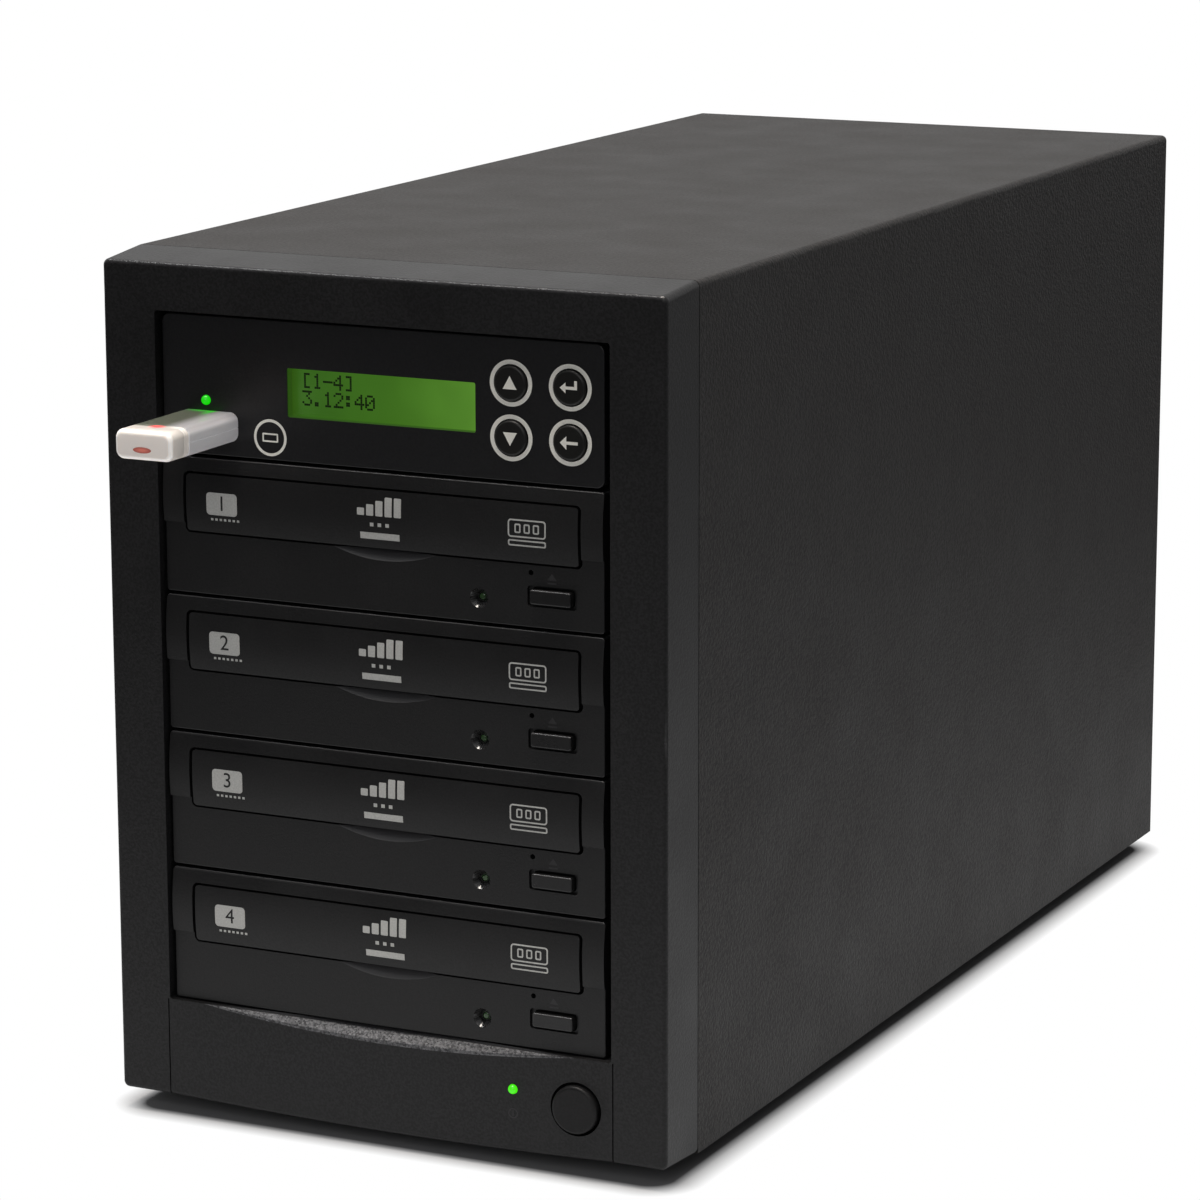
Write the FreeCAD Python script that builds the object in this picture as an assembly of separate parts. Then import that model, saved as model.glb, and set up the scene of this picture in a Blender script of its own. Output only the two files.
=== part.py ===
import FreeCAD, Part
import math
import os

os.makedirs("parts", exist_ok=True)

# A tower for copying discs: five bays in a sheet steel case, four of them with a tray drive.
# Millimetres. X points to the right of someone facing the front, Y to the back, Z up.
# The origin lies midway under the case, on the plane that its feet stand on.

# Fits and gaps
seam = 0.4
flat_gap = 0.3
shaft_gap = 0.05
press_travel = 0.8
overrun = 4.0
touching = 0.01

# Disc and tray, which every width and depth of a drive follows
disc_radius = 60.0
well_margin = 0.5
well_depth = 2.2
tray_rim = 4.0
tray_lip = 6.8
tray_travel = 140.0
tray_hold = 18.0
tray_thickness = 6.0
tray_height = 24.5
tray_front_low = 19.4
tray_front_thickness = 4.2
sled_travel = 33.0
tray_width = 2 * (disc_radius + well_margin + tray_rim)
tray_length = tray_travel + tray_hold
disc_centre_depth = tray_front_thickness + tray_lip + well_margin + disc_radius

# Half-height drive round the tray
tray_side_room = 8.5
tray_back_room = 12.8
chassis_lift = 0.5
drive_sheet = 0.8
drive_bezel_lip = 1.0
drive_bezel_cheek = 8.1
drive_bezel_head = 5.0
drive_bezel_height = 42.0
drive_bezel_depth = 5.0
chassis_width = tray_width + 2 * tray_side_room
chassis_height = drive_bezel_height - 2 * chassis_lift
chassis_depth = tray_front_thickness + tray_length + tray_back_room - drive_bezel_depth
drive_bezel_width = chassis_width + 2 * drive_bezel_lip
tray_front_width = drive_bezel_width - 2 * drive_bezel_cheek
tray_front_high = drive_bezel_height - drive_bezel_head

# Bays and the case round them
drive_count = 4
bay_gap = 1.0
faceplate_height = 42.4
first_bay_height = 32.3
opening_side_gap = 1.95
opening_head_gap = 0.9
stack_shift = -0.9
drive_recess = 2.1
frame_side = 18.55
frame_top = 16.4
case_depth = 434.0
foot_height = 6.0
sheet = 1.0
bend_radius = 2.0
bezel_depth = 21.0
bezel_wall = 2.4
bay_pitch = drive_bezel_height + bay_gap
opening_width = drive_bezel_width + 2 * opening_side_gap
opening_height = seam + drive_count * bay_pitch + faceplate_height + opening_head_gap
case_width = opening_width + 2 * frame_side
case_height = first_bay_height - seam + opening_height + frame_top

# Fans, and the power supply round one of them
fan_size = 80.0
fan_thickness = 25.0
fan_hole_inset = 4.25
fan_wall = 2.0
fan_clearance = 25.0
inlet_flange_width = 29.0
supply_inlet_room = 14.5
supply_fan_room = 19.0
inlet_fan_gap = 7.5
supply_head_room = 3.0
supply_depth = 140.0
fan_hole_pitch = fan_size - 2 * fan_hole_inset
fan_bore_radius = fan_size / 2 - fan_wall
supply_width = supply_inlet_room + inlet_flange_width + inlet_fan_gap + fan_size + supply_fan_room
supply_height = fan_size + 2 * supply_head_room
supply_fan_x = supply_width / 2 - supply_fan_room - fan_size / 2
inlet_x = supply_inlet_room + inlet_flange_width / 2 - supply_width / 2
case_fan_height = supply_height + fan_clearance + fan_size / 2

# Planes that several pieces share
front_y = -case_depth / 2
back_y = case_depth / 2
seam_y = front_y + bezel_depth
case_bottom = foot_height
case_top = foot_height + case_height
stack_bottom = case_bottom + first_bay_height
opening_bottom = stack_bottom - seam
opening_top = opening_bottom + opening_height
drive_face_y = front_y + drive_recess
chassis_y = drive_face_y + drive_bezel_depth
disc_y = drive_face_y + disc_centre_depth
inner_back_y = back_y - 2 * sheet
pan_top = case_bottom + sheet

along_x = FreeCAD.Vector(1, 0, 0)
along_y = FreeCAD.Vector(0, 1, 0)
along_z = FreeCAD.Vector(0, 0, 1)
arc_middle_share = 1 - math.sqrt(1 / 2)
parallel_share = 0.9999


def point(x, y, z):
    return FreeCAD.Vector(x, y, z)


def block(x0, x1, y0, y1, z0, z1):
    """Box between two opposite corners."""
    return Part.makeBox(x1 - x0, y1 - y0, z1 - z0, point(x0, y0, z0))


def rod(start, direction, length, radius):
    return Part.makeCylinder(radius, length, start, direction)


def line(start, end):
    return Part.LineSegment(start, end).toShape()


def arc(start, middle, end):
    return Part.Arc(start, middle, end).toShape()


def round_loop(x0, x1, z0, z1, corner, y):
    """Upright rectangle with round corners at depth y, as a closed wire."""
    near = corner * arc_middle_share
    edges = [
        line(point(x0 + corner, y, z0), point(x1 - corner, y, z0)),
        arc(point(x1 - corner, y, z0), point(x1 - near, y, z0 + near), point(x1, y, z0 + corner)),
        line(point(x1, y, z0 + corner), point(x1, y, z1 - corner)),
        arc(point(x1, y, z1 - corner), point(x1 - near, y, z1 - near), point(x1 - corner, y, z1)),
        line(point(x1 - corner, y, z1), point(x0 + corner, y, z1)),
        arc(point(x0 + corner, y, z1), point(x0 + near, y, z1 - near), point(x0, y, z1 - corner)),
        line(point(x0, y, z1 - corner), point(x0, y, z0 + corner)),
        arc(point(x0, y, z0 + corner), point(x0 + near, y, z0 + near), point(x0 + corner, y, z0)),
    ]
    return Part.Wire(edges)


def plate(x0, x1, z0, z1, corner, y0, y1):
    """Upright plate with round corners, between two depths."""
    face = Part.Face(round_loop(x0, x1, z0, z1, corner, y0))
    return face.extrude(point(0, y1 - y0, 0))


def soften(shape, radius, direction):
    """Round every straight edge that runs along a direction."""
    straight = [e for e in shape.Edges if isinstance(e.Curve, Part.Line)]
    edges = [e for e in straight if abs(e.Curve.Direction.dot(direction)) > parallel_share]
    return shape.makeFillet(radius, edges)


def round_rim(shape, radius, y):
    """Round the edges that lie wholly at depth y."""
    boxes = [(e, e.BoundBox) for e in shape.Edges]
    edges = [e for e, box in boxes if abs(box.YMin - y) < touching and abs(box.YMax - y) < touching]
    return shape.makeFillet(radius, edges)


def joined(shapes):
    """One solid from shapes that overlap or touch."""
    return shapes[0].fuse(shapes[1:]).removeSplitter()


def scoop(x, half_width, drop, reach, top):
    """Cutter for a shallow thumb scoop whose arc hangs down from the height top at the face y."""
    def cutter(y):
        rise = drop / reach
        low = top - rise * overrun
        start = y - overrun
        left = point(x - half_width, start, low)
        right = point(x + half_width, start, low)
        bottom = point(x, start, low - drop)
        lift = point(0, 0, drop)
        loop = [
            arc(left, bottom, right), line(right, right + lift), line(right + lift, left + lift),
            line(left + lift, left),
        ]
        length = reach + 2 * overrun
        return Part.Face(Part.Wire(loop)).extrude(point(0, length, length * rise))
    return cutter


# The screws are all alike in form: a pan head with a cross recess.
screw_round_share = 0.45
recess_length_share = 0.6
recess_width_share = 0.15
recess_depth_share = 0.55


def pan_screw(seat, direction, length, radius, head_radius, head_height):
    """Pan head screw with a cross recess. Its head stands on seat and its shank runs on along direction."""
    head = Part.makeCylinder(head_radius, head_height, seat - direction * head_height, direction)
    top = seat - direction * head_height
    rims = [e for e in head.Edges if e.Closed and (e.CenterOfMass - top).Length < touching]
    head = head.makeFillet(head_height * screw_round_share, rims)
    screw = head.fuse(Part.makeCylinder(radius, length, seat, direction))
    slot_half_length = head_radius * recess_length_share
    slot_half_width = head_radius * recess_width_share
    slot_depth = head_height * recess_depth_share
    slot = Part.makeBox(
        2 * slot_half_length, 2 * slot_half_width, 2 * slot_depth,
        point(-slot_half_length, -slot_half_width, -slot_depth),
    )
    turn = FreeCAD.Rotation(along_z, direction)
    for quarter in (0, 90):
        blade = slot.copy()
        blade.Placement = FreeCAD.Placement(top, turn * FreeCAD.Rotation(along_z, quarter))
        screw = screw.cut(blade)
    return screw


def export(node, shapes):
    """Write the solids of one node to its file."""
    solids = [solid for shape in shapes for solid in shape.Solids]
    for solid in solids:
        if not solid.isValid():
            print("not valid:", node)
    whole = solids[0] if len(solids) == 1 else Part.makeCompound(solids)
    whole.exportStep("parts/" + node + ".step")
    print(node, len(solids), round(whole.Volume))


# Front bezel: a moulded frame that narrows towards its face, with a tunnel round the bays and
# a recess below them that takes the lower panel. Four tabs reach back into the case.
bezel_side_taper = 0.6
bezel_top_taper = 1.9
bezel_foot_taper = 0.9
bezel_edge = 1.4
opening_corner = 1.0
tunnel_wall = 2.0
panel_overlap = 0.3
panel_depth = 12.0
tab_length = 10.0
tab_width = 14.0
tab_heights_shares = (0.25, 0.75)
button_inset = 12.05
button_height = 16.0
button_radius = 7.5
button_travel = 2.0
stem_radius = 2.5
panel_width = opening_width + 2 * panel_overlap
button_x = panel_width / 2 - button_inset


def bezel_form(inset, corner, y0, y1):
    """The bezel's outer form, drawn in by an inset, between two depths."""
    def loop_at(y):
        share = (seam_y - y) / bezel_depth
        half = case_width / 2 - inset - share * bezel_side_taper
        low = case_bottom + inset + share * bezel_foot_taper
        high = case_top - inset - share * bezel_top_taper
        return round_loop(-half, half, low, high, corner, y)
    return Part.makeLoft([loop_at(y0), loop_at(y1)], True, True)


def bezel_outside():
    return round_rim(bezel_form(0, bend_radius, front_y, seam_y), bezel_edge, front_y)


def front_bezel():
    outside = bezel_outside()
    hollow = bezel_form(bezel_wall, bend_radius / 4, front_y + bezel_wall, seam_y + overrun)
    half = opening_width / 2
    reach = half + tunnel_wall
    tunnel = block(
        -reach, reach, front_y + bezel_wall / 2, seam_y, opening_bottom - tunnel_wall,
        opening_top + tunnel_wall,
    )
    recess_half = panel_width / 2 + seam
    recess_y = front_y + panel_depth + flat_gap
    recess = block(
        -recess_half, recess_half, front_y - overrun, recess_y, case_bottom - overrun, opening_bottom,
    )
    wall_half = recess_half + tunnel_wall
    wall = block(
        -wall_half, wall_half, front_y + bezel_wall / 2, recess_y + tunnel_wall, case_bottom,
        opening_bottom,
    )
    bezel = joined([outside.cut(hollow), tunnel, wall.common(outside)])
    bezel = bezel.cut(
        plate(-half, half, opening_bottom, opening_top, opening_corner, front_y - overrun, seam_y + overrun)
    )
    bezel = bezel.cut(recess)
    stem_hole = point(button_x, recess_y - overrun, case_bottom + button_height)
    bezel = bezel.cut(rod(stem_hole, along_y, tunnel_wall + 2 * overrun, stem_radius + 2 * flat_gap))
    tabs = []
    tab_x = case_width / 2 - sheet - flat_gap
    for share in tab_heights_shares:
        z = case_bottom + share * case_height
        for x0, x1 in ((-tab_x, -tab_x + tunnel_wall), (tab_x - tunnel_wall, tab_x)):
            tabs.append(
                block(
                    x0, x1, seam_y - bezel_wall, seam_y + tab_length, z - tab_width / 2, z + tab_width / 2,
                )
            )
    return joined([bezel] + tabs)


# Lower panel: snaps into the recess, and its foot hangs down in a shallow bow. It holds the
# power button's well and a power light, and a silver-grey trim lies in the thumb scoop along
# its top edge.
panel_wall = 2.2
panel_bow = 1.7
scoop_half_width = 64.0
scoop_drop = 4.5
scoop_reach = 3.6
trim_inset = 4.0
trim_thickness = 1.2
trim_head_drop = 1.1
well_gap = 0.9
well_wall = 1.4
stop_gap = 1.0
power_light_inset = 20.95
power_light_height = 19.4
button_proud = 1.7
button_thickness = 6.7
button_edge = 1.1
stem_length = 6.5
power_light_x = button_x - power_light_inset
well_floor_depth = button_thickness - button_proud + button_travel + stop_gap
trim_scoop = scoop(
    0, scoop_half_width - trim_inset, scoop_drop - trim_thickness, scoop_reach, opening_bottom,
)
panel_scoop = scoop(0, scoop_half_width, scoop_drop, scoop_reach, opening_bottom)
trim_head = scoop(0, scoop_half_width, trim_head_drop, panel_depth, opening_bottom)


def panel_blank():
    """Slab with a bowed foot that is rounded like the bezel's own."""
    half = panel_width / 2
    low = case_bottom + bezel_foot_taper
    foot = arc(point(-half, front_y, low), point(0, front_y, low - panel_bow), point(half, front_y, low))
    right = line(point(half, front_y, low), point(half, front_y, opening_bottom))
    head = line(point(half, front_y, opening_bottom), point(-half, front_y, opening_bottom))
    left = line(point(-half, front_y, opening_bottom), point(-half, front_y, low))
    slab = Part.Face(Part.Wire([foot, right, head, left])).extrude(point(0, panel_depth, 0))
    rims = [e for e in slab.Edges if abs(e.CenterOfMass.y - front_y) < touching and e.CenterOfMass.z < low]
    return slab.makeFillet(bezel_edge, rims)


def lower_panel():
    blank = panel_blank()
    inner_x = panel_width / 2 - panel_wall
    hollow_y = front_y + panel_wall
    inside = block(
        -inner_x, inner_x, hollow_y, front_y + panel_depth + overrun, case_bottom + 2 * panel_wall,
        opening_bottom - panel_wall,
    )
    backed_scoop = scoop(
        0, scoop_half_width + panel_wall, scoop_drop + panel_wall, scoop_reach + panel_wall, opening_bottom,
    )
    inside = inside.cut(backed_scoop(front_y))
    panel = blank.cut(inside).cut(panel_scoop(front_y))
    z = case_bottom + button_height
    well_radius = button_radius + well_gap
    well_start = point(button_x, front_y + panel_wall / 2, z)
    panel = joined([panel, rod(well_start, along_y, panel_depth - panel_wall / 2, well_radius + well_wall)])
    panel = panel.cut(
        rod(point(button_x, front_y - overrun, z), along_y, well_floor_depth + overrun, well_radius)
    )
    panel = panel.cut(
        rod(point(button_x, front_y, z), along_y, panel_depth + overrun, stem_radius + shaft_gap)
    )
    light_start = point(power_light_x, front_y - overrun, case_bottom + power_light_height)
    return panel.cut(rod(light_start, along_y, panel_depth + overrun, light_radius + shaft_gap))


def scoop_trim():
    trim = panel_blank().common(panel_scoop(front_y))
    return trim.cut(trim_scoop(front_y)).cut(trim_head(front_y))


def power_button():
    z = case_bottom + button_height
    cap = rod(point(button_x, front_y - button_proud, z), along_y, button_thickness, button_radius)
    cap = round_rim(cap, button_edge, front_y - button_proud)
    stem_start = point(button_x, front_y - button_proud + button_thickness, z)
    return joined([cap, rod(stem_start, along_y, stem_length + button_proud, stem_radius)])


# Panel lights: small light emitting diodes with a domed tip and a collar behind the panel.
light_radius = 1.5
light_collar_radius = 1.9
light_collar_length = 1.0


def panel_light(x, face_y, z, wall):
    tip = Part.makeSphere(light_radius, point(x, face_y, z))
    barrel = rod(point(x, face_y, z), along_y, wall, light_radius)
    collar = rod(point(x, face_y + wall, z), along_y, light_collar_length, light_collar_radius)
    return joined([tip, barrel, collar])


# Drives: each is a steel pan with a lid, a moulded bezel and a plastic deck inside.
# Places in a bezel are counted from its lower edge and from the middle of its width.
drive_corner = 1.0
drive_edge = 0.4
tray_front_corner = 1.1
tray_front_gap = 0.7
tray_front_end_gap = 1.0
brow_low = 21.7
brow_margin = 0.7
brow_swell = 0.75
brow_ledge = 0.7
notch_x = 1.6
notch_half_width = 18.9
notch_drop = 3.8
notch_reach = 3.2
drive_light_shift = 24.05
drive_light_height = 7.3
dimple_radius = 3.0
dimple_floor_radius = 1.3
dimple_depth = 2.2
lens_radius = 1.1
pinhole_shift = 6.85
pinhole_drop = 3.0
pinhole_radius = 0.8
eject_inset = 17.0
eject_height = 9.4
eject_recess_side = 1.4
eject_recess_end = 0.95
eject_recess_depth = 1.2
eject_width = 13.3
eject_thickness = 4.4
eject_proud = 1.5
eject_corner = 0.7
eject_edge = 0.5
eject_flange = 1.0
eject_flange_reach = 1.2
brow_high = drive_bezel_height - brow_margin
brow_chord = math.hypot(brow_high - brow_low, brow_ledge)
brow_radius = (brow_chord ** 2 / 4 + brow_swell ** 2) / (2 * brow_swell)
brow_front_y = drive_face_y - brow_swell - brow_ledge
eject_x = drive_bezel_width / 2 - eject_inset
pinhole_x = eject_x - pinhole_shift
pinhole_height = tray_front_low - pinhole_drop
drive_light_x = eject_x - drive_light_shift


def brow(z0, low, outline):
    """Swell across the upper half of a drive's face, above a height and within an outline."""
    middle = point(-drive_bezel_width, drive_face_y - brow_ledge / 2, z0 + (brow_low + brow_high) / 2)
    inwards = point(0, brow_high - brow_low, -brow_ledge) / brow_chord
    start = middle + inwards * (brow_radius - brow_swell)
    swell = rod(start, along_x, 2 * drive_bezel_width, brow_radius)
    band = block(
        -drive_bezel_width, drive_bezel_width, brow_front_y, drive_face_y + drive_edge, z0 + low,
        z0 + brow_high,
    )
    return swell.common(band).common(outline)


def tray_front_plate(z0, end_gap, gap, y0, y1):
    half = tray_front_width / 2 + end_gap
    low = z0 + tray_front_low - gap
    high = z0 + tray_front_high + gap
    return plate(stack_shift - half, stack_shift + half, low, high, tray_front_corner + gap, y0, y1)


def eject_plate(z0, spread, corner, y0, y1):
    """Plate shaped like the eject button's face, spread by a margin on every side."""
    x = stack_shift + eject_x
    z = z0 + eject_height
    half_width = eject_width / 2 + spread
    half_height = eject_thickness / 2 + spread
    return plate(x - half_width, x + half_width, z - half_height, z + half_height, corner, y0, y1)


def drive_bezel(z0):
    left = stack_shift - drive_bezel_width / 2
    right = stack_shift + drive_bezel_width / 2
    high = z0 + drive_bezel_height
    body = plate(left, right, z0, high, drive_corner, drive_face_y, chassis_y)
    outline = plate(left, right, z0, high, drive_corner, brow_front_y, chassis_y)
    body = joined([round_rim(body, drive_edge, drive_face_y), brow(z0, brow_low, outline)])
    through_y = chassis_y + overrun
    slot = tray_front_plate(z0, tray_front_end_gap, tray_front_gap, brow_front_y - overrun, through_y)
    body = body.cut(slot)
    notch = scoop(stack_shift + notch_x, notch_half_width, notch_drop, notch_reach, z0 + tray_front_low)
    body = body.cut(notch(drive_face_y))
    x = stack_shift + drive_light_x
    z = z0 + drive_light_height
    body = body.cut(
        Part.makeCone(dimple_radius, dimple_floor_radius, dimple_depth, point(x, drive_face_y, z), along_y)
    )
    body = body.cut(
        rod(point(x, drive_face_y, z), along_y, drive_bezel_depth + overrun, lens_radius + shaft_gap)
    )
    pinhole = point(stack_shift + pinhole_x, drive_face_y - overrun, z0 + pinhole_height)
    body = body.cut(rod(pinhole, along_y, drive_bezel_depth + 2 * overrun, pinhole_radius))
    x = stack_shift + eject_x
    z = z0 + eject_height
    half_width = eject_width / 2 + eject_recess_side
    half_height = eject_thickness / 2 + eject_recess_end
    recess_y = drive_face_y + eject_recess_depth
    recess = plate(
        x - half_width, x + half_width, z - half_height, z + half_height, drive_corner,
        drive_face_y - overrun, recess_y,
    )
    return body.cut(recess).cut(eject_plate(z0, flat_gap, drive_corner, drive_face_y, through_y))


def eject_button(z0):
    face_y = drive_face_y - eject_proud
    cap = eject_plate(z0, 0, eject_corner, face_y, chassis_y + flat_gap)
    cap = round_rim(cap, eject_edge, face_y)
    flange_y = chassis_y + flat_gap
    flange = eject_plate(z0, eject_flange_reach, drive_corner, flange_y, flange_y + eject_flange)
    return joined([cap, flange])


def drive_light(z0):
    start = point(stack_shift + drive_light_x, drive_face_y + dimple_depth, z0 + drive_light_height)
    lens = rod(start, along_y, drive_bezel_depth, lens_radius)
    return round_rim(lens, lens_radius / 2, drive_face_y + dimple_depth)


def tray_front(z0):
    back_y = drive_face_y + tray_front_thickness
    body = round_rim(tray_front_plate(z0, 0, 0, drive_face_y, back_y), drive_edge, drive_face_y)
    outline = tray_front_plate(z0, 0, 0, brow_front_y, back_y)
    return joined([body, brow(z0, tray_front_low, outline)])


# Tray: a moulded board with a round well for a large disc, a deeper one for a small disc, and a
# slot from the middle to its back edge that lets the spindle and the lens reach the disc.
small_well_radius = 40.5
small_well_depth = 3.2
slot_half_width = 19.0
tray_back_corner = 5.0


def tray(z0):
    low = z0 + tray_height
    top = low + tray_thickness
    tray_y = drive_face_y + tray_front_thickness
    half = tray_width / 2
    board = block(stack_shift - half, stack_shift + half, tray_y, tray_y + tray_length, low, top)
    back = [e for e in board.Edges if e.BoundBox.ZLength > touching and e.BoundBox.YMin > disc_y]
    board = board.makeFillet(tray_back_corner, back)
    centre = point(stack_shift, disc_y, 0)
    well = rod(centre + along_z * (top - well_depth), along_z, overrun, disc_radius + well_margin)
    small_well = rod(centre + along_z * (top - small_well_depth), along_z, overrun, small_well_radius)
    slot_end = rod(
        centre + along_z * (low - overrun), along_z, tray_thickness + 2 * overrun, slot_half_width,
    )
    slot_y = tray_y + tray_length + overrun
    slot = block(
        stack_shift - slot_half_width, stack_shift + slot_half_width, disc_y, slot_y, low - overrun,
        top + overrun,
    )
    return board.cut(well).cut(small_well).cut(slot_end).cut(slot)


# Drive housing: a pan open at the top and front, a lid whose flanges lap over it, and the deck,
# one moulding with the tray's two runners, the spindle's seat and the posts for two guide rods.
lid_flange = 12.0
deck_setback = 6.0
deck_floor = 2.0
runner_reach = 3.0
runner_ledge = 2.2
motor_radius = 13.0
motor_drop = 7.5
spindle_shaft_radius = 1.5
spindle_shaft_floor = 5.0
turntable_radius = 15.0
turntable_thickness = 1.6
hub_radius = 7.4
hub_height = 3.0
hub_edge = 1.5
rod_x = 20.0
rod_drop = 6.5
rod_radius = 1.5
rod_start = 9.0
rod_margin = 7.0
post_width = 7.0
post_depth = 4.0
post_head = 1.5
sled_width = 48.0
sled_depth = 20.0
sled_motor_gap = 2.0
sled_below_rod = 4.0
sled_tray_gap = 0.5
sled_corner = 3.0
lens_housing_radius = 4.0
lens_housing_rise = 2.5
screw_radius = 1.5
screw_head_radius = 2.8
screw_head_height = 1.8
screw_height = 10.0
screw_setbacks = (50.0, 130.0)
cage_gap = 0.3
runner_top = tray_height + tray_thickness + flat_gap + runner_ledge
motor_top = tray_height - motor_drop
spindle_shaft_length = motor_top - spindle_shaft_floor
turntable_top = tray_height + tray_thickness - well_depth + flat_gap
rotor_top = turntable_top - turntable_thickness
hub_top = turntable_top + hub_height
rod_height = tray_height - rod_drop
post_top = rod_height + rod_radius + post_head
sled_setback = motor_radius + sled_motor_gap
sled_low = rod_height - sled_below_rod
sled_top = tray_height - sled_tray_gap
lens_housing_top = sled_top + lens_housing_rise
rod_length = sled_setback - rod_start + sled_depth + sled_travel + rod_margin
pan_half_width = chassis_width / 2 - drive_sheet - touching
pan_inner_half = pan_half_width - drive_sheet


def side_holes(z, y_places, radius):
    """Rods across the whole stack, at the drive screws."""
    reach = chassis_width
    return [rod(point(stack_shift - reach, y, z), along_x, 2 * reach, radius) for y in y_places]


def screw_places():
    return [chassis_y + setback for setback in screw_setbacks]


def drive_case(z0):
    low = z0 + chassis_lift
    top = low + chassis_height - drive_sheet
    x0 = stack_shift - pan_half_width
    x1 = stack_shift + pan_half_width
    y1 = chassis_y + chassis_depth
    outside = block(x0, x1, chassis_y, y1, low, top)
    inside = block(
        x0 + drive_sheet, x1 - drive_sheet, chassis_y - overrun, y1 - drive_sheet, low + drive_sheet,
        top + overrun,
    )
    holes = side_holes(low + screw_height, screw_places(), screw_radius + shaft_gap)
    return outside.cut(inside).cut(Part.makeCompound(holes))


def drive_lid(z0):
    top = z0 + chassis_lift + chassis_height
    x0 = stack_shift - chassis_width / 2
    x1 = stack_shift + chassis_width / 2
    y1 = chassis_y + chassis_depth
    outside = block(x0, x1, chassis_y, y1, top - lid_flange, top)
    inside = block(
        x0 + drive_sheet, x1 - drive_sheet, chassis_y - overrun, y1 + overrun, top - lid_flange - overrun,
        top - drive_sheet,
    )
    return outside.cut(inside)


def drive_deck(z0):
    floor = z0 + chassis_lift + drive_sheet
    y0 = chassis_y + deck_setback
    y1 = chassis_y + chassis_depth - drive_sheet
    tray_side = tray_width / 2 + flat_gap
    runner_x = tray_side - runner_reach
    pieces = [block(stack_shift - runner_x, stack_shift + runner_x, y0, y1, floor, floor + deck_floor)]
    low_ledge_top = z0 + tray_height - flat_gap
    high_ledge_low = z0 + tray_height + tray_thickness + flat_gap
    for side in (-1, 1):
        def rail(near, far, low, high):
            xs = sorted((stack_shift + side * near, stack_shift + side * far))
            return block(xs[0], xs[1], y0, y1, low, high)
        pieces.append(rail(tray_side, pan_inner_half, floor, z0 + runner_top))
        pieces.append(rail(runner_x, tray_side, floor, low_ledge_top))
        pieces.append(rail(runner_x, tray_side, high_ledge_low, z0 + runner_top))
        for start in (rod_start - post_depth, rod_start + rod_length):
            x = stack_shift + side * rod_x
            y = disc_y + start
            pieces.append(
                block(x - post_width / 2, x + post_width / 2, y, y + 2 * post_depth, floor, z0 + post_top)
            )
    pieces.append(rod(point(stack_shift, disc_y, floor), along_z, z0 + motor_top - floor, motor_radius))
    deck = joined(pieces)
    for guide in guide_rods(z0, shaft_gap):
        deck = deck.cut(guide)
    bore_floor = z0 + motor_top - spindle_shaft_length
    return deck.cut(
        rod(
            point(stack_shift, disc_y, bore_floor - flat_gap), along_z, rotor_top,
            spindle_shaft_radius + shaft_gap,
        )
    )


def guide_rods(z0, spread):
    z = z0 + rod_height
    y = disc_y + rod_start
    return [
        rod(point(stack_shift + side * rod_x, y, z), along_y, rod_length + post_depth, rod_radius + spread)
        for side in (-1, 1)
    ]


def spindle(z0):
    def disc(low, high, radius):
        return rod(point(stack_shift, disc_y, z0 + low), along_z, high - low, radius)
    hub = disc(turntable_top, hub_top, hub_radius)
    rims = [e for e in hub.Edges if e.Closed and e.BoundBox.ZMin > z0 + hub_top - touching]
    hub = hub.makeFillet(hub_edge, rims)
    rotor_low = motor_top + flat_gap
    shaft = disc(motor_top - spindle_shaft_length, rotor_low, spindle_shaft_radius)
    return joined(
        [
            shaft, disc(rotor_low, rotor_top, motor_radius),
            disc(rotor_top, turntable_top, turntable_radius), hub,
        ]
    )


def laser_sled(z0):
    y = disc_y + sled_setback
    body = block(
        stack_shift - sled_width / 2, stack_shift + sled_width / 2, y, y + sled_depth, z0 + sled_low,
        z0 + sled_top,
    )
    body = soften(body, sled_corner, along_z)
    lens = rod(
        point(stack_shift, y + sled_depth / 2, z0 + sled_top), along_z, lens_housing_top - sled_top,
        lens_housing_radius,
    )
    body = joined([body, lens])
    z = z0 + rod_height
    for side in (-1, 1):
        start = point(stack_shift + side * rod_x, y - overrun, z)
        body = body.cut(rod(start, along_y, sled_depth + 2 * overrun, rod_radius + shaft_gap))
    return body


def side_screws(z, y_places):
    """Screws that hold one drive between the cage's plates, two on each side."""
    screws = []
    seat_x = chassis_width / 2 + cage_gap + sheet
    length = seat_x - pan_inner_half
    for y in y_places:
        for side in (-1, 1):
            seat = point(stack_shift + side * seat_x, y, z)
            screws.append(
                pan_screw(seat, along_x * -side, length, screw_radius, screw_head_radius, screw_head_height)
            )
    return screws


# Controller: a faceplate like a drive's with two arms behind it that carry the circuit board.
faceplate_recess = 2.5
faceplate_thickness = 3.0
faceplate_corner = 2.8
window_left = -31.9
window_right = 31.2
window_low = 13.45
window_high = 28.3
window_corner = 0.6
key_window_gap = 11.7
key_column_pitch = 19.2
key_row_low = 12.85
key_row_pitch = 16.15
key_radius = 5.25
key_gap = 0.3
key_proud = 0.9
key_edge = 0.8
key_flange_reach = 0.95
key_flange = 1.2
key_stem_radius = 1.6
arm_thickness = 2.0
arm_length = 100.0
arm_height = 34.0
ledge_width = 4.0
ledge_thickness = 2.0
board_thickness = 1.6
board_length = 92.0
board_lift = 6.2
key_board_depth = 12.0
key_board_margin = 7.5
switch_half_width = 3.0
switch_depth = 3.0
plunger_radius = 1.7
module_depth = 6.5
module_stem_gap = 1.2
module_height = 36.0
module_frame_width = 71.0
module_frame_height = 24.0
glass_thickness = 1.2
glass_margin = 2.0
boss_radius = 1.9
boss_inset = 3.0
chip_height = 1.8
chips_shares = ((0.20, 0.35, 0.16, 0.2), (0.55, 0.45, 0.24, 0.3), (0.80, 0.75, 0.14, 0.18))
controller_bottom = stack_bottom + drive_count * bay_pitch
plate_y = front_y + faceplate_recess
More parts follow.
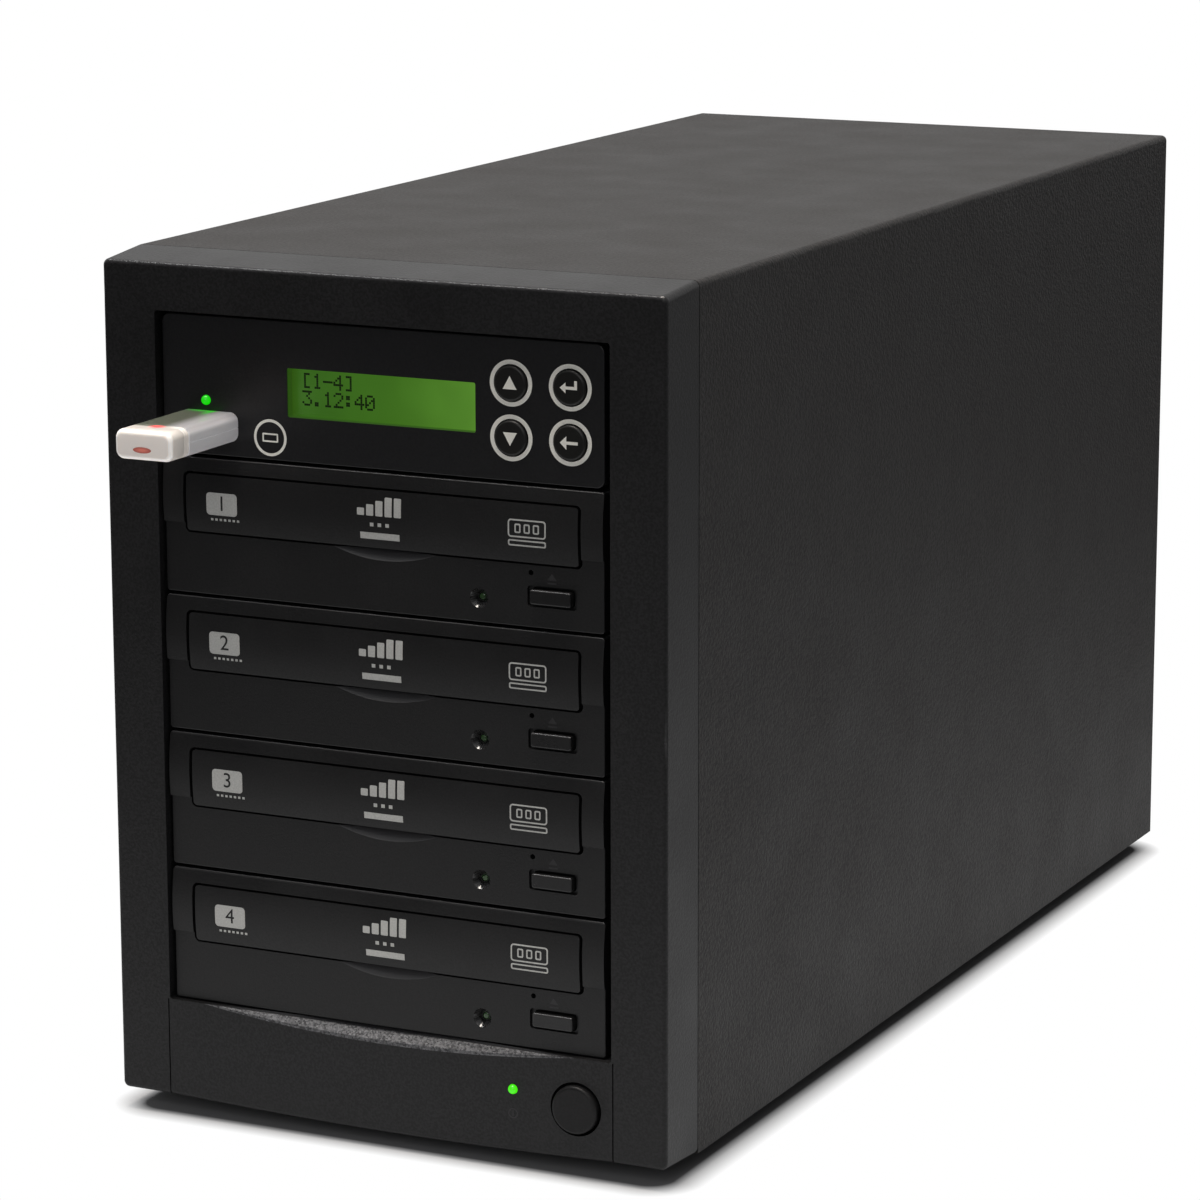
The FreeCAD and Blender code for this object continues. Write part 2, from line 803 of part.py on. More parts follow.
plate_back_y = plate_y + faceplate_thickness
glass_y = plate_back_y + flat_gap
board_top = controller_bottom + board_lift
key_flange_radius = key_radius + key_flange_reach
key_left_x = window_right + key_window_gap
key_columns = (key_left_x, key_left_x + key_column_pitch)
key_rows = (key_row_low, key_row_low + key_row_pitch)
window_x = (window_left + window_right) / 2
module_width = 2 * (key_left_x - key_stem_radius - module_stem_gap - window_x)


def window_plate(spread, y0, y1):
    low = controller_bottom + window_low - spread
    high = controller_bottom + window_high + spread
    return plate(window_left - spread, window_right + spread, low, high, window_corner + spread, y0, y1)


def key_places():
    return [(x, controller_bottom + height) for x in key_columns for height in key_rows]


def module_box(width, height, y0, y1):
    x = window_x
    z = controller_bottom + (window_low + window_high) / 2
    return block(x - width / 2, x + width / 2, y0, y1, z - height / 2, z + height / 2)


def controller_faceplate():
    half = drive_bezel_width / 2
    body = plate(
        stack_shift - half, stack_shift + half, controller_bottom, controller_bottom + faceplate_height,
        faceplate_corner, plate_y, plate_back_y,
    )
    body = round_rim(body, drive_edge, plate_y)
    arm_half = chassis_width / 2
    arm_low = board_top - board_thickness - ledge_thickness
    parts = [body]
    for side in (-1, 1):
        xs = sorted((side * (arm_half - arm_thickness), side * arm_half))
        parts.append(
            block(
                stack_shift + xs[0], stack_shift + xs[1], plate_back_y, plate_back_y + arm_length, arm_low,
                arm_low + arm_height,
            )
        )
        xs = sorted((side * (arm_half - arm_thickness - ledge_width), side * (arm_half - arm_thickness)))
        parts.append(
            block(
                stack_shift + xs[0], stack_shift + xs[1], plate_back_y, plate_back_y + arm_length, arm_low,
                arm_low + ledge_thickness,
            )
        )
    module_z = controller_bottom + (window_low + window_high) / 2
    for side in (-1, 1):
        for end in (-1, 1):
            x = window_x + side * (module_width / 2 - boss_inset)
            z = module_z + end * (module_height / 2 - boss_inset)
            parts.append(
                rod(
                    point(x, plate_y + drive_edge, z), along_y,
                    faceplate_thickness - drive_edge + module_depth, boss_radius,
                )
            )
    key_boss = point(sum(key_columns) / 2, plate_y + drive_edge, controller_bottom + sum(key_rows) / 2)
    parts.append(rod(key_boss, along_y, faceplate_thickness - drive_edge + key_board_depth, boss_radius))
    body = joined(parts)
    body = body.cut(window_plate(0, plate_y - overrun, plate_back_y + overrun))
    for x, z in key_places():
        body = body.cut(
            rod(
                point(x, plate_y - overrun, z), along_y, faceplate_thickness + 2 * overrun,
                key_radius + key_gap,
            )
        )
    light = point(port_light_x, plate_y - overrun, port_light_z)
    body = body.cut(rod(light, along_y, faceplate_thickness + 2 * overrun, light_radius + shaft_gap))
    holes = side_holes(
        controller_bottom + chassis_lift + screw_height, screw_places()[:1], screw_radius + shaft_gap,
    )
    body = body.cut(Part.makeCompound(holes))
    return body.cut(port_space(flat_gap, plate_y - overrun, plate_back_y + overrun))


def controller_boards():
    """The main board on its ledges, and the small upright board behind the keys."""
    half = chassis_width / 2 - arm_thickness - flat_gap
    y0 = plate_back_y + flat_gap
    main = block(
        stack_shift - half, stack_shift + half, y0, y0 + board_length, board_top - board_thickness,
        board_top,
    )
    cut_x = window_x - module_width / 2 - flat_gap
    cut_y = plate_back_y + key_board_depth + board_thickness + flat_gap
    board_cut = block(cut_x, chassis_width, y0 - overrun, cut_y, board_top - overrun, board_top + overrun)
    parts = [main.cut(board_cut)]
    for across, along, width, depth in chips_shares:
        x = stack_shift - half + across * 2 * half
        y = y0 + along * board_length
        parts.append(
            block(
                x, x + width * half, y, y + depth * board_length, board_top - touching,
                board_top + chip_height,
            )
        )
    main_board = joined(parts)
    board_y = plate_back_y + key_board_depth
    x0 = key_columns[0] - key_board_margin
    x1 = key_columns[1] + key_board_margin
    z0 = controller_bottom + key_rows[0] - key_board_margin
    z1 = controller_bottom + key_rows[1] + key_board_margin
    parts = [block(x0, x1, board_y, board_y + board_thickness, z0, z1)]
    for x, z in key_places():
        w = switch_half_width
        parts.append(block(x - w, x + w, board_y - switch_depth, board_y + touching, z - w, z + w))
        parts.append(
            rod(point(x, plunger_face_y(), z), along_y, board_y - plunger_face_y(), plunger_radius)
        )
    return [main_board, joined(parts)]


def plunger_face_y():
    return plate_back_y + key_board_depth - switch_depth - press_travel


def display_module():
    back_y = plate_back_y + module_depth
    frame_y = glass_y + glass_thickness
    frame = module_box(module_frame_width, module_frame_height, frame_y, back_y)
    return joined([frame, module_box(module_width, module_height, back_y, back_y + board_thickness)])


def display_window():
    return window_plate(glass_margin, glass_y, glass_y + glass_thickness)


def key(x, z):
    face_y = plate_y - key_proud
    cap = rod(point(x, face_y, z), along_y, key_proud + faceplate_thickness + flat_gap, key_radius)
    cap = round_rim(cap, key_edge, face_y)
    flange_y = plate_back_y + flat_gap
    flange = rod(point(x, flange_y, z), along_y, key_flange, key_flange_radius)
    stem_end = plunger_face_y() - press_travel - flat_gap
    return joined([cap, flange, rod(point(x, flange_y, z), along_y, stem_end - flange_y, key_stem_radius)])


# Data port and memory stick: a steel shell round a contact tongue, and the stick that the photo
# shows plugged into it. The stick is two clear white mouldings with a steel plug.
port_x = -58.3
port_stand = 0.15
plug_width = 12.0
plug_height = 4.5
plug_length = 12.0
plug_wall = 0.3
plug_gap = 0.2
port_wall = 0.4
port_length = 14.0
tongue_width = 10.8
tongue_thickness = 1.6
tongue_length = 9.0
contact_block = 1.9
stick_width = 19.5
stick_height = 9.0
stick_length = 39.3
stick_corner = 2.6
stick_end_round = 1.6
stick_cap_length = 10.0
port_light_shift = 1.6
port_light_gap = 3.0
port_z = board_top + port_stand + port_wall + plug_gap + plug_height / 2
port_face_y = plate_y + flat_gap
port_light_x = port_x - port_light_shift
port_light_z = port_z + stick_height / 2 + port_light_gap


def port_space(spread, y0, y1):
    """Box round the port's shell, spread by a margin."""
    half_width = plug_width / 2 + plug_gap + port_wall + spread
    half_height = plug_height / 2 + plug_gap + port_wall + spread
    return block(
        port_x - half_width, port_x + half_width, y0, y1, port_z - half_height, port_z + half_height,
    )


def usb_port():
    y1 = port_face_y + port_length
    shell = port_space(0, port_face_y, y1)
    cavity = port_space(-port_wall, port_face_y - overrun, y1 - port_wall)
    tongue_low = port_z - plug_height / 2 + plug_wall + contact_block + plug_gap
    half = tongue_width / 2
    tongue = block(
        port_x - half, port_x + half, y1 - port_wall - tongue_length, y1 - port_wall / 2, tongue_low,
        tongue_low + tongue_thickness,
    )
    legs_low = board_top
    leg = block(
        port_x - half, port_x + half, port_face_y + faceplate_thickness, y1, legs_low,
        port_z - plug_height / 2 - plug_gap - port_wall / 2,
    )
    return joined([shell.cut(cavity), tongue, leg])


def stick_plate(y0, y1):
    return plate(
        port_x - stick_width / 2, port_x + stick_width / 2, port_z - stick_height / 2,
        port_z + stick_height / 2, stick_corner, y0, y1,
    )


def usb_stick():
    body_back = plate_y - flat_gap
    body_face = body_back - stick_length
    seam_at = body_face + stick_cap_length
    cap = round_rim(stick_plate(body_face, seam_at), stick_end_round, body_face)
    body = stick_plate(seam_at, body_back)
    plug_end = body_back + plug_length
    half_width = plug_width / 2
    half_height = plug_height / 2
    plug = block(
        port_x - half_width, port_x + half_width, body_back, plug_end, port_z - half_height,
        port_z + half_height,
    )
    inner_width = half_width - plug_wall
    low = port_z - half_height + plug_wall + contact_block
    hollow = block(
        port_x - inner_width, port_x + inner_width, body_back + plug_wall, plug_end + overrun, low,
        port_z + half_height - plug_wall,
    )
    return [cap, body, plug.cut(hollow)]


# Case: a base pan, a rear panel, one bent cover and the cage that holds the drives.
pan_flange = 14.0
rear_flange = 10.0
cover_lip = 8.0
rear_bend = 1.2
rear_panel_room = 0.2
cage_length = 160.0
cage_foot = 12.0
foot_radius = 9.0
foot_top_radius = 8.0
foot_inset_x = 22.0
foot_inset_y = 32.0
foot_stud_radius = 3.0
supply_window_margin = 2.5
supply_screw_inset = 6.0
supply_window_corner = 13.0
case_screw_radius = 1.9
case_head_radius = 3.6
case_head_height = 2.2
case_screw_length = 7.0
cover_screw_shares = (0.12, 0.5, 0.88)
inner_half = case_width / 2 - sheet
supply_low = pan_top
supply_high = supply_low + supply_height
supply_front_y = inner_back_y - supply_depth
case_fan_z = case_bottom + case_fan_height


def cover_form(inset, y0, y1):
    """Solid the shape of the cover's outside, drawn in by an inset, open towards the floor."""
    half = case_width / 2 - inset
    low = case_bottom - 2 * bend_radius
    solid = plate(-half, half, low, case_top - inset, bend_radius - inset / 2, y0, y1)
    return solid.cut(block(-case_width, case_width, y0 - overrun, y1 + overrun, low - overrun, case_bottom))


def case_cover():
    y0 = seam_y + seam
    outside = round_rim_top(cover_form(0, y0, back_y))
    inside = cover_form(sheet, y0 - overrun, back_y - sheet)
    inside = inside.fuse(
        block(
            -inner_half, inner_half, y0 - overrun, back_y - sheet, case_bottom - overrun,
            case_bottom + bend_radius,
        )
    )
    way = inner_half - cover_lip
    opening = block(
        -way, way, back_y - sheet - overrun, back_y + overrun, case_bottom - overrun,
        case_top - sheet - cover_lip,
    )
    cover = outside.cut(inside).cut(opening)
    for x, z in cover_screw_places():
        cover = cover.cut(
            rod(
                point(x, back_y - sheet - overrun, z), along_y, sheet + 2 * overrun,
                case_screw_radius + shaft_gap,
            )
        )
    return cover


def round_rim_top(shape):
    """Round the cover's rear edge along its sides and top, but not along its open foot."""
    boxes = [(e, e.BoundBox) for e in shape.Edges]
    rear = [
        e
        for e, box in boxes if abs(box.YMin - back_y) < touching and abs(box.YMax - back_y) < touching
    ]
    rear = [e for e in rear if e.BoundBox.ZMax > case_bottom + touching]
    return shape.makeFillet(rear_bend, rear)


def cover_screw_places():
    x = inner_half - cover_lip / 2
    return [
        (side * x, case_bottom + share * case_height)
        for side in (-1, 1) for share in cover_screw_shares
    ]


def base_pan():
    half = inner_half - flat_gap
    y0 = seam_y + seam
    outside = block(-half, half, y0, inner_back_y, case_bottom, case_bottom + pan_flange)
    inside = block(
        -half + sheet, half - sheet, y0 - overrun, back_y, pan_top, case_bottom + pan_flange + overrun,
    )
    pan = outside.cut(inside)
    for x, y in foot_places():
        pan = pan.cut(
            rod(
                point(x, y, case_bottom - overrun), along_z, sheet + 2 * overrun,
                foot_stud_radius + shaft_gap,
            )
        )
    return pan


def foot_places():
    x = case_width / 2 - foot_inset_x
    y = case_depth / 2 - foot_inset_y
    return [(sx * x, sy * y) for sx in (-1, 1) for sy in (-1, 1)]


def foot(x, y):
    base = Part.makeCone(foot_top_radius, foot_radius, foot_height, point(x, y, 0), along_z)
    return joined([base, rod(point(x, y, foot_height), along_z, sheet, foot_stud_radius)])


def supply_places():
    """Corners of the power supply's back where its screws go."""
    x = supply_width / 2 - supply_screw_inset
    return [
        (sx * x, z)
        for sx in (-1, 1) for z in (supply_low + supply_screw_inset, supply_high - supply_screw_inset)
    ]


def fan_places(x, z):
    half = fan_hole_pitch / 2
    return [(x + sx * half, z + sz * half) for sx in (-1, 1) for sz in (-1, 1)]


def rear_panel():
    half = inner_half - rear_panel_room
    low = case_bottom
    high = case_top - sheet - flat_gap
    y0 = inner_back_y
    face = plate(-half, half, low, high, bend_radius, y0, y0 + sheet)
    flanges = [
        block(x0, x0 + sheet, y0 - rear_flange, y0 + sheet / 2, low + pan_flange, high - 2 * bend_radius)
        for x0 in (-half, half - sheet)
    ]
    panel = joined([face] + flanges)
    reach = supply_width / 2
    for inset_x, inset_z in (
        (supply_window_margin, supply_window_corner), (supply_window_corner, supply_window_margin),
    ):
        window = block(
            -reach + inset_x, reach - inset_x, y0 - overrun, back_y, supply_low + inset_z,
            supply_high - inset_z,
        )
        panel = panel.cut(window)
    panel = panel.cut(rod(point(0, y0 - overrun, case_fan_z), along_y, 2 * overrun, fan_bore_radius))
    holes = supply_places() + fan_places(0, case_fan_z) + cover_screw_places()
    for x, z in holes:
        panel = panel.cut(
            rod(point(x, y0 - overrun, z), along_y, 2 * overrun, case_screw_radius + shaft_gap)
        )
    return panel


def drive_cage():
    """Two upright plates with a foot turned outwards onto the pan, and a row of screw holes."""
    plates = []
    for side in (-1, 1):
        near = side * (chassis_width / 2 + cage_gap)
        far = near + side * sheet
        toe = near + side * cage_foot
        xs = sorted((near, far))
        wall = block(
            stack_shift + xs[0], stack_shift + xs[1], seam_y + seam, seam_y + seam + cage_length, pan_top,
            opening_top,
        )
        xs = sorted((near, toe))
        sole = block(
            stack_shift + xs[0], stack_shift + xs[1], seam_y + seam, seam_y + seam + cage_length, pan_top,
            pan_top + sheet,
        )
        plates.append(joined([wall, sole]))
    cut = []
    for bay in range(drive_count + 1):
        z = stack_bottom + bay * bay_pitch + chassis_lift + screw_height
        holes = Part.makeCompound(side_holes(z, screw_places(), screw_radius + shaft_gap))
        cut.append(holes)
    return [p.cut(cut) for p in plates]


# Fans: a square frame whose motor seat hangs on four struts, a bladed rotor, and a wire guard.
fan_corner = 4.0
strut_width = 4.0
strut_thickness = 3.5
motor_seat_radius = 17.0
rotor_hub_radius = 17.0
root_share = 0.9
rotor_setback = 2.7
rotor_gap = 0.8
rotor_hub_edge = 2.0
fan_shaft_radius = 1.5
blade_count = 7
blade_tip_gap = 1.4
blade_thickness = 1.4
blade_chords = (14.0, 22.0)
blade_pitch_degrees = (52.0, 32.0)
guard_wire = 0.8
guard_rings_shares = (0.28, 0.48, 0.68, 0.88)
guard_ear_radius = 3.4
weld_share = 1.5
ear_wire_share = 0.9
rotor_depth = fan_thickness - strut_thickness - rotor_gap - rotor_setback
blade_tip_radius = fan_bore_radius - blade_tip_gap


def fan_frame(x, z, back):
    """Square frame with its motor seat at the outlet, whose face lies at back."""
    half = fan_size / 2
    front = back - fan_thickness
    body = plate(x - half, x + half, z - half, z + half, fan_corner, front, back)
    body = body.cut(
        rod(point(x, front - overrun, z), along_y, fan_thickness + 2 * overrun, fan_bore_radius)
    )
    seat = rod(point(x, back - strut_thickness, z), along_y, strut_thickness, motor_seat_radius)
    struts = [seat]
    for quarter in (0, 90):
        bar = block(
            -fan_bore_radius - touching, fan_bore_radius + touching, back - strut_thickness, back,
            -strut_width / 2, strut_width / 2,
        )
        bar.Placement = FreeCAD.Placement(point(x, 0, z), FreeCAD.Rotation(along_y, quarter))
        struts.append(bar)
    body = joined([body] + struts)
    body = body.cut(
        rod(
            point(x, back - strut_thickness - overrun, z), along_y, strut_thickness + 2 * overrun,
            fan_shaft_radius + shaft_gap,
        )
    )
    for hole_x, hole_z in fan_places(x, z):
        body = body.cut(
            rod(
                point(hole_x, front - overrun, hole_z), along_y, fan_thickness + 2 * overrun,
                case_screw_radius + shaft_gap,
            )
        )
    return body


def blade_section(radius, chord, pitch):
    """Thin rectangle across the blade at a radius, turned by its pitch."""
    half = chord / 2
    t = blade_thickness / 2
    lean = math.radians(pitch)
    along = point(0, math.sin(lean), math.cos(lean))
    across = point(0, math.cos(lean), -math.sin(lean))
    centre = point(radius, 0, 0)
    corners = [
        centre + along * half + across * t, centre - along * half + across * t,
        centre - along * half - across * t, centre + along * half - across * t,
    ]
    return Part.makePolygon(corners + corners[:1])


def fan_rotor(x, z, back):
    rotor_back = back - strut_thickness - rotor_gap
    middle = rotor_back - rotor_depth / 2
    hub = rod(point(0, rotor_back - rotor_depth, 0), along_y, rotor_depth, rotor_hub_radius)
    hub = round_rim(hub, rotor_hub_edge, rotor_back - rotor_depth)
    root = blade_section(rotor_hub_radius * root_share, blade_chords[0], blade_pitch_degrees[0])
    tip = blade_section(fan_bore_radius, blade_chords[1], blade_pitch_degrees[1])
    blade = Part.makeLoft([root, tip], True, True)
    limit = rod(point(0, -fan_thickness, 0), along_y, 2 * fan_thickness, blade_tip_radius)
    blade = blade.common(limit)
    blade.translate(point(0, middle, 0))
    pieces = [
        hub,
        rod(point(0, rotor_back - touching, 0), along_y, rotor_gap + strut_thickness, fan_shaft_radius),
    ]
    for n in range(blade_count):
        copy = blade.copy()
        copy.rotate(point(0, 0, 0), along_y, 360 * n / blade_count)
        pieces.append(copy)
    rotor = joined(pieces)
    rotor.translate(point(x, 0, z))
    return rotor


def fan_guard(x, z, seat_y):
    """Rings of wire on two crossed wires, whose ends turn into eyes for the screws."""
    wire_y = seat_y + guard_wire
    ring_y = wire_y + weld_share * guard_wire
    pieces = []
    for share in guard_rings_shares:
        pieces.append(Part.makeTorus(fan_bore_radius * share, guard_wire, point(x, ring_y, z), along_y))
    diagonal = fan_hole_pitch / math.sqrt(2)
    inner = diagonal - guard_ear_radius
    for turn in (45, 135):
        direction = FreeCAD.Rotation(along_y, turn).multVec(along_x)
        start = point(x, wire_y, z) - direction * inner
        pieces.append(rod(start, direction, 2 * inner, guard_wire))
    for ear_x, ear_z in fan_places(x, z):
        pieces.append(
            Part.makeTorus(
                guard_ear_radius, guard_wire * ear_wire_share, point(ear_x, wire_y, ear_z), along_y,
            )
        )
    return joined(pieces)


# Power supply: a steel box with its fan at the back, and beside the fan one moulding that holds
# the mains inlet and the rocker switch.
vent_count = 9
vent_height = 50.0
vent_width = 4.0
inlet_flange_height = 62.0
inlet_flange = 1.8
inlet_side_lip = 1.7
inlet_end_lip = 2.0
inlet_body_depth = 20.0
inlet_corner = 2.0
socket_wall = 1.5
socket_height = 15.4
socket_depth = 16.5
socket_corner = 3.0
socket_lift = -14.5
pin_width = 2.0
pin_height = 4.0
pin_pitch = 7.0
pin_offset = 2.0
pin_recess = 2.5
rocker_lift = 15.0
rocker_width = 11.0
rocker_half_height = 8.0
rocker_rise = 4.0
rocker_valley = 1.2
rocker_sink = 1.5
rocker_tilt_degrees = 10.0
pivot_radius = 1.0
pivot_length = 1.2
inlet_body_width = inlet_flange_width - 2 * inlet_side_lip
inlet_body_height = inlet_flange_height - 2 * inlet_end_lip
socket_width = inlet_body_width - 2 * socket_wall
supply_z = (supply_low + supply_high) / 2
inlet_face_y = inner_back_y + inlet_flange
pivot_y = inlet_face_y - rocker_sink
pivot_z = supply_z + rocker_lift
rocker_radius = math.hypot(rocker_rise, rocker_half_height)


def supply_case():
    half = supply_width / 2
    outside = block(-half, half, supply_front_y, inner_back_y, supply_low, supply_high)
    inside = block(
        -half + sheet, half - sheet, supply_front_y + sheet, inner_back_y - sheet, supply_low + sheet,
        supply_high - sheet,
    )
    case = outside.cut(inside)
    case = case.cut(
        rod(point(supply_fan_x, inner_back_y - overrun, supply_z), along_y, 2 * overrun, fan_bore_radius)
    )
    hole_half = inlet_body_width / 2 + flat_gap
    hole_rise = inlet_body_height / 2 + flat_gap
    case = case.cut(
        block(
            inlet_x - hole_half, inlet_x + hole_half, inner_back_y - overrun, inner_back_y + overrun,
            supply_z - hole_rise, supply_z + hole_rise,
        )
    )
    for x, z in supply_places() + fan_places(supply_fan_x, supply_z):
        case = case.cut(
            rod(point(x, inner_back_y - overrun, z), along_y, 2 * overrun, case_screw_radius + shaft_gap)
        )
    pitch = supply_width / (vent_count + 1)
    for n in range(vent_count):
        x = -half + (n + 1) * pitch
        case = case.cut(
            block(
                x - vent_width / 2, x + vent_width / 2, supply_front_y - overrun, supply_front_y + overrun,
                supply_z - vent_height / 2, supply_z + vent_height / 2,
            )
        )
    return case


def power_inlet():
    """One moulding with the socket's hollow and the rocker's round seat, and three pins."""
    def centred(width, height, corner, y0, y1, lift):
        z = supply_z + lift
        return plate(
            inlet_x - width / 2, inlet_x + width / 2, z - height / 2, z + height / 2, corner, y0, y1,
        )
    flange = round_rim(
        centred(inlet_flange_width, inlet_flange_height, inlet_corner, inner_back_y, inlet_face_y, 0),
        inlet_flange / 3, inlet_face_y,
    )
    body = centred(
        inlet_body_width, inlet_body_height, inlet_corner, inner_back_y - inlet_body_depth, inner_back_y, 0,
    )
    housing = joined([flange, body])
    housing = housing.cut(
        centred(
            socket_width, socket_height, socket_corner, inlet_face_y - socket_depth, inlet_face_y + overrun,
            socket_lift,
        )
    )
    seat_half = rocker_width / 2 + flat_gap
    seat = rod(
        point(inlet_x - seat_half, pivot_y, pivot_z), along_x, 2 * seat_half, rocker_radius + flat_gap,
    )
    housing = housing.cut(seat)
    pivot_half = seat_half + pivot_length
    pivot = rod(
        point(inlet_x - pivot_half, pivot_y, pivot_z), along_x, 2 * pivot_half, pivot_radius + shaft_gap,
    )
    housing = housing.cut(pivot)
    pins = []
    for n in (-1, 0, 1):
        x = inlet_x + n * pin_pitch
        z = supply_z + socket_lift + (pin_offset if n == 0 else -pin_offset)
        pins.append(
            block(
                x - pin_width / 2, x + pin_width / 2, inlet_face_y - socket_depth,
                inlet_face_y - pin_recess, z - pin_height / 2, z + pin_height / 2,
            )
        )
    return [housing] + pins


def power_rocker():
    """Rocker with a round back and a shallow V across its face, resting with its lower half in."""
    def at(y, z):
        return point(inlet_x - rocker_width / 2, pivot_y + y, pivot_z + z)
    top = at(rocker_rise, rocker_half_height)
    bottom = at(rocker_rise, -rocker_half_height)
    valley = at(rocker_valley, 0)
    edges = [arc(top, at(-rocker_radius, 0), bottom), line(bottom, valley), line(valley, top)]
    body = Part.Face(Part.Wire(edges)).extrude(point(rocker_width, 0, 0))
    half = rocker_width / 2 + pivot_length
    body = joined([body, rod(point(inlet_x - half, pivot_y, pivot_z), along_x, 2 * half, pivot_radius)])
    body.rotate(point(inlet_x, pivot_y, pivot_z), along_x, -rocker_tilt_degrees)
    return body


# Cables: one round data cable from the controller's board to each drive, and one bundle of
# power leads from the supply to each drive. Their bends are as wide as their runs allow.
data_radius = 2.0
lead_radius = 2.4
data_first_x = -46.0
data_pitch = 9.0
data_column_share = 0.3484
lead_first_x = 30.0
lead_pitch = 9.0
lead_run_share = 0.321
lead_slope_share = 0.397
plug_block_width = 8.0
plug_block_depth = 9.0
plug_block_height = 6.0
plug_lift = 14.0
bend_share = 0.45
chassis_back_y = chassis_y + chassis_depth
board_back_y = plate_back_y + flat_gap + board_length
cable_start_y = chassis_back_y + plug_block_depth
cable_room = supply_front_y - cable_start_y
data_column_y = cable_start_y + data_column_share * cable_room


def bent_path(points):
    """Wire of straight runs with an arc at every inner point that touches both its runs."""
    edges = []
    start = points[0]
    for before, corner, after in zip(points, points[1:], points[2:]):
        into = corner - before
        away = after - corner
        turn = into.getAngle(away)
        radius = bend_share * min(into.Length, away.Length) / math.tan(turn / 2)
        print("bend radius", round(radius, 1))
        set_in = radius * math.tan(turn / 2)
        into.normalize()
        away.normalize()
        arc_start = corner - into * set_in
        arc_end = corner + away * set_in
        inward = away - into
        inward.normalize()
        middle = corner + inward * (radius / math.cos(turn / 2) - radius)
        edges.append(line(start, arc_start))
        edges.append(arc(arc_start, middle, arc_end))
        start = arc_end
    edges.append(line(start, points[-1]))
    return Part.Wire(edges)


def tube(points, radius):
    path = bent_path(points)
    circle = Part.Wire([Part.makeCircle(radius, points[0], points[1] - points[0])])
    return path.makePipeShell([circle], True, False)


def plug_block(x, y0, y1, z):
    half_width = plug_block_width / 2
    half_height = plug_block_height / 2
    return block(x - half_width, x + half_width, y0, y1, z - half_height, z + half_height)


def drive_plug_z(n):
    return stack_bottom + (drive_count - n) * bay_pitch + plug_lift


def data_cable(n):
    x = data_first_x + (n - 1) * data_pitch
    high = board_top + plug_block_height / 2
    low = drive_plug_z(n)
    start = board_back_y + plug_block_depth - touching
    end = chassis_back_y + plug_block_depth - touching
    way = [
        point(x, start, high), point(x, data_column_y, high), point(x, data_column_y, low),
        point(x, end, low),
    ]
    ends = [
        plug_block(x, board_back_y, board_back_y + plug_block_depth, high),
        plug_block(x, chassis_back_y, end + touching, low),
    ]
    return joined([tube(way, data_radius)] + ends)


def power_lead(n):
    x = lead_first_x + (n - 1) * lead_pitch
    high = drive_plug_z(n)
    low = supply_z + vent_height / 2 + plug_block_height
    first = supply_front_y
    end = chassis_back_y + plug_block_depth - touching
    way = [
        point(x, first, low), point(x, first - lead_run_share * cable_room, low),
        point(x, first - (lead_run_share + lead_slope_share) * cable_room, high), point(x, end, high),
    ]
    return joined([tube(way, lead_radius), plug_block(x, chassis_back_y, end + touching, high)])


# Screws of the case, its fans and the power supply
def case_screws():
    screws = []
    inward = along_y * -1
    guard_top = 2 * guard_wire
    panel_back_y = back_y - sheet
    seats = [(x, back_y, z) for x, z in cover_screw_places()]
    seats += [(x, panel_back_y, z) for x, z in supply_places()]
    seats += [(x, panel_back_y + guard_top, z) for x, z in fan_places(0, case_fan_z)]
    seats += [(x, inner_back_y + guard_top, z) for x, z in fan_places(supply_fan_x, supply_z)]
    for x, y, z in seats:
        screws.append(
            pan_screw(
                point(x, y, z), inward, case_screw_length, case_screw_radius, case_head_radius,
                case_head_height,
            )
        )
    return screws


# Every piece, written to its own file
drives = [(n, stack_bottom + (drive_count - n) * bay_pitch) for n in range(1, drive_count + 1)]
for n, z0 in drives:
    name = "drive_" + str(n)
    export(name + "_bezel", [drive_bezel(z0)])
    export(name + "_tray", [tray(z0)])
    export(name + "_tray_front", [tray_front(z0)])
    export(name + "_eject_button", [eject_button(z0)])
    export(name + "_spindle", [spindle(z0)])
    export(name + "_laser_sled", [laser_sled(z0)])
export("drive_cases", [drive_case(z0) for n, z0 in drives])
export("drive_lids", [drive_lid(z0) for n, z0 in drives])
export("drive_decks", [drive_deck(z0) for n, z0 in drives])
export("drive_guide_rods", [guide for n, z0 in drives for guide in guide_rods(z0, 0)])
export("drive_lights", [drive_light(z0) for n, z0 in drives])
bay_screws = [
    screw
    for n, z0 in drives for screw in side_screws(z0 + chassis_lift + screw_height, screw_places())
]
bay_screws += side_screws(controller_bottom + chassis_lift + screw_height, screw_places()[:1])
export("drive_screws", bay_screws)
export("front_bezel", [front_bezel()])
export("lower_panel", [lower_panel()])
export("scoop_trim", [scoop_trim()])
export("power_button", [power_button()])
port_light = panel_light(port_light_x, plate_y, port_light_z, faceplate_thickness)
power_light = panel_light(power_light_x, front_y, case_bottom + power_light_height, panel_wall)
export("panel_lights", [port_light, power_light])
export("controller_faceplate", [controller_faceplate()])
export("controller_boards", controller_boards())
export("display_module", [display_module()])
export("display_window", [display_window()])
for name, (x, z) in zip(("key_down", "key_up", "key_back", "key_enter"), key_places()):
    export(name, [key(x, z)])
export("usb_port", [usb_port()])
export("usb_stick", usb_stick())
export("case_cover", [case_cover()])
export("base_pan", [base_pan()])
export("rear_panel", [rear_panel()])
export("drive_cage", drive_cage())
export("feet", [foot(x, y) for x, y in foot_places()])
export("case_screws", case_screws())
export(
    "fan_frames",
    [fan_frame(0, case_fan_z, inner_back_y), fan_frame(supply_fan_x, supply_z, inner_back_y - sheet)],
)
export("case_fan_rotor", [fan_rotor(0, case_fan_z, inner_back_y)])
export("supply_fan_rotor", [fan_rotor(supply_fan_x, supply_z, inner_back_y - sheet)])
